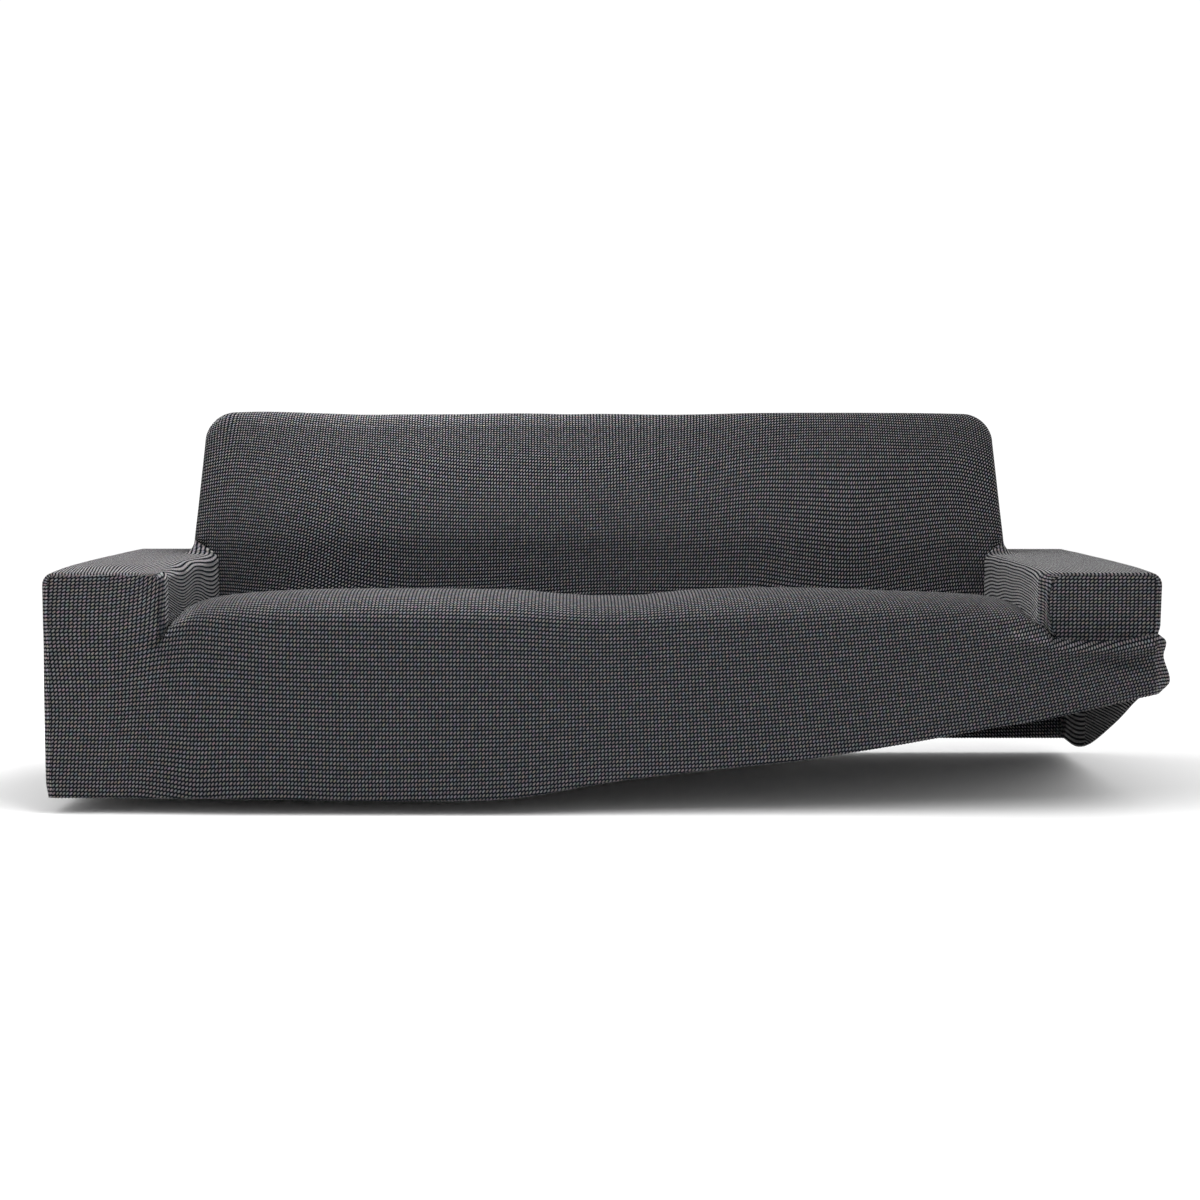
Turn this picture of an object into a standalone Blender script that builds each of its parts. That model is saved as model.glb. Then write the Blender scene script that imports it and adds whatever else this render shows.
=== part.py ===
"""Stretch slipcover for a three-seat sofa, as five knitted panels sewn into one hollow cover.

Heights are taken from the lowest hem and depths from the fronts of the arms. The whole cover is then
hung from a datum under the top edge of its back, which is the part's origin.
"""

import math
from collections import namedtuple

import bmesh
import bpy
from mathutils import Vector

# Driving dimensions, in metres
HALF_WIDTH = 1.125          # centre to the outer side of an arm
DEPTH = 0.857               # arm fronts to the rear of the back
ARM_TOP = 0.457             # top of the arms over the lowest hem
ARM_INNER = 0.880           # centre to the inner face of an arm
ARM_INNER_RADIUS = 0.014
ARM_OUTER_RADIUS = 0.028
EDGE_RADIUS = 0.010         # edges round the fronts and the rear
SEAM_LIP = 0.002            # flat cloth between a rounded edge and its seam
BACK_TOP = 0.781
BACK_FACE = 0.620           # arm fronts to the foot of the inside back
BACK_LEAN = 0.20            # rearward for each metre of height
BACK_LEAN_START = 0.492     # height over which the inside back leans
BACK_CORNER_RADIUS = 0.066
BACK_EDGE_RADIUS = 0.028    # inside back to its sides and top
BACK_CROWN = 0.010          # swell at the middle of the inside back
SEAT_FOOT = 0.286           # lowest point of the inside back, tucked behind the seat
SEAT_CREST_DEPTH = 0.120    # arm fronts to the highest line of the seat
SEAT_FALL = 0.046           # drop from that line to the rear of the seat
SEAT_FALL_POWER = 1.25      # how slowly that drop begins
INNER_FOOT = 0.3463         # lower edge of the inner arm faces, tucked beside the seat
INNER_FOOT_FRONT = 0.3530   # the same at the arm front, above the corner of the seat
INNER_FOOT_RUN = 0.030      # depth over which the first settles to the second
BACK_TUCK = 0.004           # the inside back runs on behind the ends of the arm faces by this
CLOTH = 0.003
SEAM = 0.0003               # gap between two panels
CREASE_SEAM = 0.0006        # the same where the arms' cloth climbs round the back

SEAM_INSET = EDGE_RADIUS + SEAM_LIP
DATUM = Vector((0.0, 0.780, BACK_TOP - CLOTH))

# The skirt, from the left side round the front to the right side. "around" runs along the front in x
# and goes on by the distance from the arm fronts along each side. "hem" and "top" are heights, and top
# is where the seat rounds over, or the crease under an arm. The rest is how far the cloth stands out.
SkirtSection = namedtuple("SkirtSection", "around hem top hem_out belly_out waist_out lip_out top_out")
SKIRT = (
    SkirtSection(-1.990, 0.000, 0.346, 0.000, 0.000, 0.000, 0.000, 0.000),
    SkirtSection(-1.125, 0.000, 0.346, 0.000, 0.001, 0.001, 0.000, 0.000),
    SkirtSection(-1.010, 0.000, 0.346, 0.000, 0.003, 0.002, 0.000, 0.000),
    SkirtSection(-0.940, 0.000, 0.346, 0.003, 0.008, 0.008, 0.003, -0.001),
    SkirtSection(-0.892, 0.000, 0.346, 0.006, 0.014, 0.014, 0.006, -0.006),
    SkirtSection(-0.820, 0.001, 0.352, 0.012, 0.019, 0.021, 0.019, 0.014),
    SkirtSection(-0.700, 0.001, 0.358, 0.019, 0.023, 0.026, 0.027, 0.025),
    SkirtSection(-0.326, -0.002, 0.360, 0.024, 0.027, 0.029, 0.030, 0.029),
    SkirtSection(-0.185, 0.003, 0.359, 0.026, 0.027, 0.029, 0.030, 0.029),
    SkirtSection(-0.084, 0.019, 0.356, 0.028, 0.027, 0.028, 0.029, 0.028),
    SkirtSection(-0.004, 0.034, 0.354, 0.029, 0.027, 0.028, 0.029, 0.028),
    SkirtSection(0.157, 0.056, 0.357, 0.030, 0.028, 0.029, 0.030, 0.029),
    SkirtSection(0.398, 0.082, 0.361, 0.030, 0.029, 0.030, 0.031, 0.030),
    SkirtSection(0.599, 0.113, 0.360, 0.029, 0.030, 0.030, 0.031, 0.029),
    SkirtSection(0.799, 0.149, 0.357, 0.025, 0.030, 0.029, 0.030, 0.025),
    SkirtSection(0.892, 0.162, 0.350, 0.020, 0.028, 0.026, 0.028, -0.002),
    SkirtSection(0.945, 0.174, 0.320, 0.016, 0.026, 0.021, 0.026, -0.004),
    SkirtSection(1.033, 0.194, 0.320, 0.012, 0.026, 0.014, 0.022, -0.004),
    SkirtSection(1.113, 0.214, 0.332, 0.006, 0.024, 0.011, 0.016, -0.003),
    SkirtSection(1.135, 0.2185, 0.334, 0.004, 0.023, 0.010, 0.014, -0.002),
    SkirtSection(1.280, 0.190, 0.336, 0.006, 0.019, 0.008, 0.010, -0.001),
    SkirtSection(1.500, 0.105, 0.341, 0.006, 0.010, 0.005, 0.004, 0.000),
    SkirtSection(1.740, 0.020, 0.346, 0.002, 0.002, 0.001, 0.000, 0.000),
    SkirtSection(1.850, 0.000, 0.346, 0.000, 0.000, 0.000, 0.000, 0.000),
    SkirtSection(1.990, 0.000, 0.346, 0.000, 0.000, 0.000, 0.000, 0.000),
)
# Where the belly, waist and lip of a section lie, as a share of its height, and its rows of cloth
BELLY, WAIST, LIP = 0.20, 0.62, 0.88
SKIRT_ROWS = (0.0, 0.10, 0.22, 0.36, 0.50, 0.64, 0.78, 0.89, 0.95, 1.0)

# The seat's highest line: two soft crowns with a dip between, falling away at the arms
SeatCrest = namedtuple("SeatCrest", "x height")
SEAT_CREST = (
    SeatCrest(-0.880, 0.3510),
    SeatCrest(-0.865, 0.3690),
    SeatCrest(-0.840, 0.3860),
    SeatCrest(-0.800, 0.3985),
    SeatCrest(-0.740, 0.4070),
    SeatCrest(-0.600, 0.4145),
    SeatCrest(-0.420, 0.4160),
    SeatCrest(-0.170, 0.4130),
    SeatCrest(-0.093, 0.4060),
    SeatCrest(-0.012, 0.4015),
    SeatCrest(0.077, 0.4022),
    SeatCrest(0.164, 0.4115),
    SeatCrest(0.251, 0.4165),
    SeatCrest(0.410, 0.4180),
    SeatCrest(0.583, 0.4125),
    SeatCrest(0.730, 0.4070),
    SeatCrest(0.800, 0.4010),
    SeatCrest(0.845, 0.3880),
    SeatCrest(0.866, 0.3710),
    SeatCrest(0.880, 0.3510),
)

# The back's top edge, as stretched: slight rises and falls about its nominal height
TopEdge = namedtuple("TopEdge", "x rise")
TOP_EDGE = (
    TopEdge(-0.930, 0.000),
    TopEdge(-0.790, 0.004),
    TopEdge(-0.600, -0.004),
    TopEdge(-0.330, -0.005),
    TopEdge(-0.144, 0.002),
    TopEdge(0.130, -0.003),
    TopEdge(0.370, 0.002),
    TopEdge(0.700, 0.002),
    TopEdge(0.920, -0.002),
)

# The two ends: side is the sign of x, the back's half width at the arms and at its top corner, and the
# height and reach of the cloth that climbs from the arm top onto the side of the back
End = namedtuple("End", "side back_low back_high climb reach")
LEFT = End(-1, 0.9385, 0.9220, 0.032, 0.028)
RIGHT = End(1, 0.9270, 0.9090, 0.030, 0.036)

# Columns of cloth across each stretch, as shares of it
ARM_COLUMNS = (0.0, 0.10, 0.28, 0.52, 0.76, 1.0)
SEAT_EDGE_COLUMNS = (0.892, 0.872, 0.848, 0.812, 0.762, 0.690)
SEAT_MIDDLE_STEPS = 18
SEAT_ROUND_STEPS = 5
SEAT_FLAT_STEPS = 5
ARM_FACE_STEPS = 3          # rows up an inner arm face, and from the crease to the corner outside
ARM_REAR_STEPS = 4
BACK_COLUMNS = 18
BACK_SIDE_STEPS = 4
ARC_STEPS = 3
CORNER_STEPS = 4
BACK_EDGE_STEPS = 4
ARM_RUN = (0.18, 0.36, 0.54, 0.72, 0.87, 0.95, 0.985, 1.0)
TOP_EDGE_FADE = 0.120       # height below the top edge over which its rises fade out
REAR_ROWS = (0.0, 0.28, 0.56, 0.84, 0.90, 0.96, 1.0)
WELD = 0.00005              # points closer than this are one point

Knot = namedtuple("Knot", "share out")


def smooth_step(value):
    value = min(max(value, 0.0), 1.0)
    return value * value * (3.0 - 2.0 * value)


def between(start, end, share):
    return start + (end - start) * share


def shares(steps):
    return [step / steps for step in range(steps + 1)]


def read_table(table, column, position):
    """A smooth curve through one named column of a table, read at a position along its first column."""
    places = [row[0] for row in table]
    values = [getattr(row, column) for row in table]
    position = min(max(position, places[0]), places[-1])
    last = len(places) - 2
    index = max(number for number in range(last + 1) if places[number] <= position)

    def slope(number):
        low = max(number - 1, 0)
        high = min(number + 1, last + 1)
        return (values[high] - values[low]) / (places[high] - places[low])

    width = places[index + 1] - places[index]
    share = (position - places[index]) / width
    square, cube = share * share, share * share * share
    return (
        (2 * cube - 3 * square + 1) * values[index]
        + (cube - 2 * square + share) * width * slope(index)
        + (3 * square - 2 * cube) * values[index + 1]
        + (cube - square) * width * slope(index + 1)
    )


# ---------------------------------------------------------------- the skirt and the seat


def skirt_point(around, share):
    """How far the skirt stands out and its height, at a share of the way from hem to top."""
    knots = ("hem_out", "belly_out", "waist_out", "lip_out", "top_out")
    places = (0.0, BELLY, WAIST, LIP, 1.0)
    knot_table = [Knot(place, read_table(SKIRT, knot, around)) for place, knot in zip(places, knots)]
    hem = read_table(SKIRT, "hem", around)
    top = read_table(SKIRT, "top", around)
    return read_table(knot_table, "out", share), between(hem, top, share)


def front_point(x, share):
    out, height = skirt_point(x, share)
    return Vector((x, -out, height))


def back_face(height):
    """Depth of the inside back at a height."""
    return BACK_FACE + BACK_LEAN * max(height - BACK_LEAN_START, 0.0)


def seat_columns():
    edge = list(SEAT_EDGE_COLUMNS)
    inner = edge[-1]
    middle = [between(-inner, inner, share) for share in shares(SEAT_MIDDLE_STEPS)]
    columns = [-value for value in edge[:-1]] + middle + edge[:-1][::-1]
    columns[0] = -(ARM_INNER + SEAM_INSET + SEAM)
    columns[-1] = ARM_INNER + SEAM_INSET + SEAM
    return columns


def seat_fall(depth):
    """Drop of the seat behind its highest line."""
    share = (depth - SEAT_CREST_DEPTH) / (BACK_FACE - SEAT_CREST_DEPTH)
    return SEAT_FALL * min(max(share, 0.0), 1.0) ** SEAT_FALL_POWER


def seat_point(x, row):
    """A point of the seat, by row: over the rounded front first, then back to the inside back."""
    out, start = skirt_point(x, 1.0)
    seat_x = min(max(x, -ARM_INNER + SEAM), ARM_INNER - SEAM)
    crest = read_table(SEAT_CREST, "height", seat_x)
    if row == 0:
        return Vector((x, -out, start))
    if row <= SEAT_ROUND_STEPS:
        angle = math.radians(90.0 * row / SEAT_ROUND_STEPS)
        depth = -out + (SEAT_CREST_DEPTH + out) * (1.0 - math.cos(angle))
        return Vector((seat_x, depth, between(start, crest, math.sin(angle))))
    share = (row - SEAT_ROUND_STEPS) / SEAT_FLAT_STEPS
    depth = between(SEAT_CREST_DEPTH, BACK_FACE - SEAM, share)
    return Vector((seat_x, depth, crest - seat_fall(depth)))


# ---------------------------------------------------------------- outlines of the arms and the back


def arc_points(centre_x, centre_z, radius, start, end, steps):
    """Points and outward normals along an arc, in degrees from +x."""
    points = []
    for share in shares(steps):
        angle = math.radians(between(start, end, share))
        normal = Vector((math.cos(angle), math.sin(angle)))
        points.append((Vector((centre_x, centre_z)) + radius * normal, normal))
    return points


def arm_top_stations(end):
    """Distances of the arm top's columns from the centre: finest where it climbs the back."""
    corner = end.back_low - BACK_EDGE_RADIUS
    turns = [math.radians(90.0 * share) for share in shares(BACK_EDGE_STEPS)]
    round_back = [corner + BACK_EDGE_RADIUS * math.sin(turn) for turn in turns]
    climb = [end.back_low + end.reach * (1.0 - math.cos(turn)) for turn in turns[1:]]
    outer = HALF_WIDTH - ARM_OUTER_RADIUS
    return [ARM_INNER + ARM_INNER_RADIUS, *round_back, *climb, between(climb[-1], outer, 0.5), outer]


def climb_share(end, distance):
    """The climb grows from nothing at the inner edge of the arm to all of it at the back's side."""
    return min(max((distance - ARM_INNER) / (end.back_low - ARM_INNER), 0.0), 1.0)


def climb_height(end, distance, depth):
    """Rise of the arm top where its cloth climbs the back, by the distance from the back's footprint."""
    across = max(distance - (end.back_low - BACK_EDGE_RADIUS), 0.0)
    ahead = max(BACK_FACE - SEAM - CLOTH + BACK_EDGE_RADIUS - depth, 0.0)
    clear = max(math.hypot(across, ahead) - BACK_EDGE_RADIUS, 0.0)
    if clear >= end.reach:
        return 0.0
    curve = 1.0 - math.sqrt(1.0 - (1.0 - clear / end.reach) ** 2)
    return end.climb * climb_share(end, distance) * curve


def edge_rows():
    """Inset, depth and turn of each row over a rounded edge, from the seam round to the side."""
    rows = [(SEAM_INSET, 0.0, 0.0)]
    for share in shares(ARC_STEPS):
        angle = math.radians(90.0 * share)
        rows.append((EDGE_RADIUS * (1.0 - math.sin(angle)), EDGE_RADIUS * (1.0 - math.cos(angle)), share))
    return rows


# ---------------------------------------------------------------- arm panels


def arm_columns(end):
    """Every column of an arm panel: what it is, its place on the outline and its outward normal."""
    columns = [("inner", share, Vector((-1.0, 0.0))) for share in shares(ARM_FACE_STEPS)]
    corner = arc_points(ARM_INNER + ARM_INNER_RADIUS, ARM_TOP - ARM_INNER_RADIUS, ARM_INNER_RADIUS,
                        180.0, 90.0, ARC_STEPS)
    columns += [("point", point, normal) for point, normal in corner[1:-1]]
    columns += [("top", station, Vector((0.0, 1.0))) for station in arm_top_stations(end)]
    corner = arc_points(HALF_WIDTH - ARM_OUTER_RADIUS, ARM_TOP - ARM_OUTER_RADIUS, ARM_OUTER_RADIUS,
                        90.0, 0.0, ARC_STEPS)
    columns += [("point", point, normal) for point, normal in corner[1:-1]]
    columns += [("outer", share, Vector((1.0, 0.0))) for share in shares(ARM_FACE_STEPS)[::-1]]
    columns += [("skirt", share, Vector((1.0, 0.0))) for share in SKIRT_ROWS[:-1][::-1]]
    return columns


def arm_point(end, column, inset, depth, turn):
    """A point of an arm panel: its column's place, drawn in by the inset of a rounded edge."""
    kind, place, normal = column
    around = end.side * (HALF_WIDTH - inset + depth)
    if kind == "inner":
        foot = between(INNER_FOOT_FRONT, INNER_FOOT, smooth_step(depth / INNER_FOOT_RUN)) - seat_fall(depth)
        height = between(foot, ARM_TOP - ARM_INNER_RADIUS, place)
        return Vector((end.side * (ARM_INNER + inset), depth, height))
    if kind in ("outer", "skirt"):
        out, height = skirt_point(around, place if kind == "skirt" else 1.0)
        if kind == "outer":
            out *= 1.0 - place
            height = between(height, ARM_TOP - ARM_OUTER_RADIUS, place)
        ahead = out * math.cos(0.5 * math.pi * turn)
        aside = out * math.sin(0.5 * math.pi * turn)
        return Vector((end.side * (HALF_WIDTH - inset + aside), depth - ahead, height))
    point = Vector((place, ARM_TOP)) if kind == "top" else place
    point = point + Vector((0.0, climb_height(end, point.x, depth)))
    if kind == "top":
        if depth > BACK_FACE + BACK_EDGE_RADIUS and place < end.back_low + end.reach:
            lean = math.acos(1.0 - max(place - end.back_low, 0.0) / end.reach)
            normal = Vector((math.cos(lean), math.sin(lean)))
    point = point - normal * inset
    return Vector((end.side * point.x, depth, point.y))


def arm_back_depth(end, column):
    """Where a column of an arm panel meets the back: at its face, round its edge or along its side."""
    kind, place, _ = column
    if kind == "inner":
        return BACK_FACE - SEAM
    distance = place.x if kind == "point" else place
    if kind in ("outer", "skirt"):
        distance = HALF_WIDTH
    corner = end.back_low - BACK_EDGE_RADIUS
    if distance < corner + WELD:
        return BACK_FACE - SEAM - CLOTH
    across = min(distance - corner, BACK_EDGE_RADIUS)
    curve = BACK_EDGE_RADIUS - math.sqrt(BACK_EDGE_RADIUS ** 2 - across ** 2)
    return BACK_FACE - SEAM + curve


def arm_patches(end):
    columns = arm_columns(end)
    front = edge_rows()
    first_side = next(number for number, column in enumerate(columns)
                      if column[0] == "top" and column[1] > end.back_low - WELD)

    def front_part(i, j):
        column = columns[i]
        if j < len(front):
            return arm_point(end, column, *front[j])
        share = ARM_RUN[j - len(front)]
        return arm_point(end, column, 0.0, between(EDGE_RADIUS, arm_back_depth(end, column), share), 1.0)

    rear = [(inset, DEPTH - depth) for inset, depth, _ in edge_rows()][::-1]
    start = BACK_FACE - SEAM + BACK_EDGE_RADIUS
    middle = [(0.0, between(start, DEPTH - EDGE_RADIUS, share)) for share in shares(ARM_FACE_STEPS)[:-1]]
    rear_rows = middle + rear

    def rear_part(i, j):
        inset, depth = rear_rows[j]
        return arm_point(end, columns[first_side + i], inset, depth, 1.0)

    return (
        (len(columns), len(front) + len(ARM_RUN), front_part),
        (len(columns) - first_side, len(rear_rows), rear_part),
    )


# ---------------------------------------------------------------- front and seat panel


def arm_front_rows():
    """Rows of an arm front above its crease, each with the ends it spans between."""
    inset = SEAM_INSET + SEAM
    inner_x = ARM_INNER + inset
    outer_x = HALF_WIDTH - inset
    rows = [("straight", share) for share in shares(ARM_FACE_STEPS)]
    inner = arc_points(ARM_INNER + ARM_INNER_RADIUS, ARM_TOP - ARM_INNER_RADIUS,
                       ARM_INNER_RADIUS - inset, 180.0, 90.0, ARC_STEPS)
    outer = arc_points(HALF_WIDTH - ARM_OUTER_RADIUS, ARM_TOP - ARM_OUTER_RADIUS,
                       ARM_OUTER_RADIUS - inset, 0.0, 90.0, ARC_STEPS)
    rows += [("corner", (low[0], high[0])) for low, high in zip(inner[1:], outer[1:])]
    return inner_x, outer_x, rows


def arm_front_point(end, share, row):
    """A point of an arm front, by its share from the inner to the outer edge and its row."""
    inner_x, outer_x, rows = arm_front_rows()
    kind, place = rows[row]
    if kind == "corner":
        low, high = place
        return Vector((end.side * between(low.x, high.x, share), 0.0, between(low.y, high.y, share)))
    distance = between(inner_x, outer_x, share)
    out, crease = skirt_point(end.side * distance, 1.0)
    top = ARM_TOP - between(ARM_INNER_RADIUS, ARM_OUTER_RADIUS, share)
    return Vector((end.side * distance, -out * (1.0 - place), between(crease, top, place)))


def front_patches():
    seat = seat_columns()
    inner_x, outer_x, rows = arm_front_rows()
    arm = [between(inner_x, outer_x, share) for share in ARM_COLUMNS]
    across = [-distance for distance in arm[:0:-1]] + seat + arm[1:]

    def skirt_part(i, j):
        return front_point(across[i], SKIRT_ROWS[j])

    def seat_part(i, j):
        return seat_point(seat[i], j)

    def left_part(i, j):
        return arm_front_point(LEFT, ARM_COLUMNS[::-1][i], j)

    def right_part(i, j):
        return arm_front_point(RIGHT, ARM_COLUMNS[i], j)

    return (
        (len(across), len(SKIRT_ROWS), skirt_part),
        (len(seat), SEAT_ROUND_STEPS + SEAT_FLAT_STEPS + 1, seat_part),
        (len(ARM_COLUMNS), len(rows), left_part),
        (len(ARM_COLUMNS), len(rows), right_part),
    )


# ---------------------------------------------------------------- inside and outside back


def back_half_width(end, height):
    low = ARM_TOP + end.climb
    high = BACK_TOP - BACK_CORNER_RADIUS
    return between(end.back_low, end.back_high, (height - low) / (high - low))


def back_outline(end):
    """One end's outline of the back, upwards from the cloth climbing it, with outward normals."""
    low = ARM_TOP + end.climb + SEAM
    high = BACK_TOP - BACK_CORNER_RADIUS
    outline = []
    for share in shares(BACK_SIDE_STEPS)[:-1]:
        height = between(low, high, share)
        outline.append((Vector((back_half_width(end, height), height)), Vector((1.0, 0.0))))
    outline += arc_points(end.back_high - BACK_CORNER_RADIUS, high, BACK_CORNER_RADIUS, 0.0, 90.0,
                          CORNER_STEPS)
    return outline


def back_ring(inset, depth_of, low_edge):
    """One row round the back, from the left end over the top to the right end."""
    ring = []
    for end in (LEFT, RIGHT):
        outline = back_outline(end)
        half = []
        for number, (point, normal) in enumerate(outline):
            place = point - normal * inset
            height = low_edge(end) if number == 0 else place.y
            half.append(Vector((end.side * place.x, 0.0, height)))
        ring.append(half)
    left, right = ring
    top = [left[-1].lerp(right[-1], share) for share in shares(BACK_COLUMNS)]
    points = left[:-1] + top + right[:-1][::-1]
    for point in points:
        point.y = depth_of(point.z)
    return points


def inside_back_rows():
    """Every row of the inside back's border: over its front edge, along its sides, over the rear."""
    rows = []

    def low_edge(end, inset=0.0):
        return ARM_TOP + end.climb * climb_share(end, end.back_low - inset) + CREASE_SEAM

    for share in shares(BACK_EDGE_STEPS):
        angle = math.radians(90.0 * share)
        inset = BACK_EDGE_RADIUS * (1.0 - math.sin(angle))
        curve = BACK_EDGE_RADIUS * (1.0 - math.cos(angle))
        rows.append(back_ring(inset, lambda z, curve=curve: back_face(z) + curve,
                              lambda end, inset=inset: low_edge(end, inset)))
    for share in (0.5, 1.0):
        rows.append(back_ring(0.0, lambda z, share=share: between(back_face(z) + BACK_EDGE_RADIUS,
                                                                  DEPTH - EDGE_RADIUS, share), low_edge))
    for inset, depth, _ in edge_rows()[::-1][1:]:
        rows.append(back_ring(inset, lambda z, depth=depth: DEPTH - depth, low_edge))
    return rows


def inside_back_patches():
    rows = inside_back_rows()
    side_steps = len(back_outline(LEFT)) - 1
    face_ring = rows[0]

    def face_edge(end, row):
        """The face's own edge: beside the inner arm face, over its rounded corner, then the ring."""
        low = arc_points(ARM_INNER + ARM_INNER_RADIUS, ARM_TOP - ARM_INNER_RADIUS,
                         ARM_INNER_RADIUS - BACK_TUCK, 180.0, 90.0, ARC_STEPS)
        foot = [Vector((ARM_INNER + BACK_TUCK, between(SEAT_FOOT, low[0][0].y, share)))
                for share in shares(ARM_FACE_STEPS)]
        below = foot[:-1] + [point for point, _ in low[:-1]]
        if row < len(below):
            return Vector((end.side * below[row].x, 0.0, below[row].y))
        number = row - len(below)
        return face_ring[number] if end.side < 0 else face_ring[-1 - number]

    face_rows = ARM_FACE_STEPS + ARC_STEPS + side_steps + 1

    def face_part(i, j):
        share = i / BACK_COLUMNS
        point = face_edge(LEFT, j).lerp(face_edge(RIGHT, j), share)
        if j == face_rows - 1:
            return face_ring[side_steps + i]
        point.y = back_face(point.z)
        if 0 < i < BACK_COLUMNS:
            across = math.sin(math.pi * share)
            upward = math.sin(math.pi * min(max((point.z - ARM_TOP) / (BACK_TOP - ARM_TOP), 0.0), 1.0))
            point.y -= BACK_CROWN * math.sqrt(across) * upward
        return point

    def border_part(i, j):
        return rows[j][i]

    return (
        (BACK_COLUMNS + 1, face_rows, face_part),
        (len(face_ring), len(rows), border_part),
    )


def outside_back_patches():
    inset = SEAM_INSET + SEAM
    arm_top = ARM_TOP - inset
    ring = back_ring(inset, lambda z: DEPTH, lambda end: ARM_TOP + end.climb + CREASE_SEAM)
    side_steps = len(back_outline(LEFT)) - 1

    def climb_edge(end):
        """The rear edge of the cloth that climbs from the arm top to the side of the back."""
        start = end.back_low + end.reach
        points = []
        for share in shares(BACK_EDGE_STEPS)[1:-1]:
            turn = math.radians(90.0 * share)
            points.append(Vector((end.side * (start - (end.reach + inset) * math.sin(turn)), DEPTH,
                                  ARM_TOP + end.climb - (end.climb + inset) * math.cos(turn))))
        return points

    def middle_edge(end, row):
        if row < len(REAR_ROWS):
            return Vector((end.side * (end.back_low + end.reach), DEPTH, arm_top * REAR_ROWS[row]))
        row -= len(REAR_ROWS)
        climb = climb_edge(end)
        if row < len(climb):
            return climb[row]
        row -= len(climb)
        return ring[row] if end.side < 0 else ring[-1 - row]

    middle_rows = len(REAR_ROWS) + len(climb_edge(LEFT)) + side_steps + 1

    def middle_part(i, j):
        if j == middle_rows - 1:
            return ring[side_steps + BACK_COLUMNS - i]
        return middle_edge(RIGHT, j).lerp(middle_edge(LEFT, j), i / BACK_COLUMNS)

    corner = arc_points(HALF_WIDTH - ARM_OUTER_RADIUS, ARM_TOP - ARM_OUTER_RADIUS,
                        ARM_OUTER_RADIUS - inset, 0.0, 90.0, ARC_STEPS)
    straight = len(REAR_ROWS) - ARC_STEPS

    def arm_rear_point(end, share, row):
        if row < straight:
            height = (ARM_TOP - ARM_OUTER_RADIUS) * row / (straight - 1)
            outer = Vector((HALF_WIDTH - inset, height))
        else:
            outer = corner[row - straight + 1][0]
        inner = middle_edge(end, row)
        return Vector((between(inner.x, end.side * outer.x, share), DEPTH, between(inner.z, outer.y, share)))

    last = ARM_REAR_STEPS
    return (
        (BACK_COLUMNS + 1, middle_rows, middle_part),
        (last + 1, len(REAR_ROWS), lambda i, j: arm_rear_point(LEFT, i / last, j)),
        (last + 1, len(REAR_ROWS), lambda i, j: arm_rear_point(RIGHT, 1.0 - i / last, j)),
    )


# ---------------------------------------------------------------- making the panels


def knit_material(name, colour):
    material = bpy.data.materials.new(name)
    material.use_nodes = True
    shader = material.node_tree.nodes["Principled BSDF"]
    shader.inputs["Base Color"].default_value = (*colour, 1.0)
    shader.inputs["Roughness"].default_value = 0.95
    shader.inputs["Metallic"].default_value = 0.0
    return material


def raise_top_edge(point):
    """The slight rises and falls of the back's top edge, fading out below it."""
    share = smooth_step((point.z - BACK_TOP) / TOP_EDGE_FADE + 1.0)
    return point + Vector((0.0, 0.0, share * read_table(TOP_EDGE, "rise", point.x)))


def make_panel(name, patches, colour, collection, datum, mirrored=False):
    """A panel of cloth: its patches are grids laid on their places, welded, and given a thickness."""
    cloth = bmesh.new()
    for columns, rows, place in patches:
        grid = bmesh.ops.create_grid(cloth, x_segments=columns - 1, y_segments=rows - 1, size=0.5)
        for vertex in grid["verts"]:
            i = round((vertex.co.x + 0.5) * (columns - 1))
            j = round((vertex.co.y + 0.5) * (rows - 1))
            vertex.co = raise_top_edge(place(i, j))
    bmesh.ops.remove_doubles(cloth, verts=cloth.verts, dist=WELD)
    if mirrored:
        bmesh.ops.reverse_faces(cloth, faces=cloth.faces)
    mesh = bpy.data.meshes.new(name)
    cloth.to_mesh(mesh)
    cloth.free()
    mesh.shade_smooth()
    mesh.materials.append(knit_material(name + "_knit", colour))
    panel = bpy.data.objects.new(name, mesh)
    collection.objects.link(panel)
    panel.parent = datum
    thickness = panel.modifiers.new("cloth thickness", "SOLIDIFY")
    thickness.thickness = CLOTH
    thickness.offset = -1.0
    thickness.use_even_offset = True
    return panel


def main():
    for item in list(bpy.data.objects):
        bpy.data.objects.remove(item, do_unlink=True)
    collection = bpy.data.collections.new("sofa_slipcover")
    bpy.context.scene.collection.children.link(collection)
    datum = bpy.data.objects.new("hanging_datum", None)
    datum.location = -DATUM
    collection.objects.link(datum)

    make_panel("front_and_seat_panel", front_patches(), (0.060, 0.062, 0.066), collection, datum)
    make_panel("left_arm_panel", arm_patches(LEFT), (0.066, 0.068, 0.072), collection, datum,
               mirrored=True)
    make_panel("right_arm_panel", arm_patches(RIGHT), (0.066, 0.068, 0.072), collection, datum)
    make_panel("inside_back_panel", inside_back_patches(), (0.052, 0.054, 0.058), collection, datum)
    make_panel("outside_back_panel", outside_back_patches(), (0.058, 0.060, 0.064), collection, datum)


main()
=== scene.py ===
import math

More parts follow.
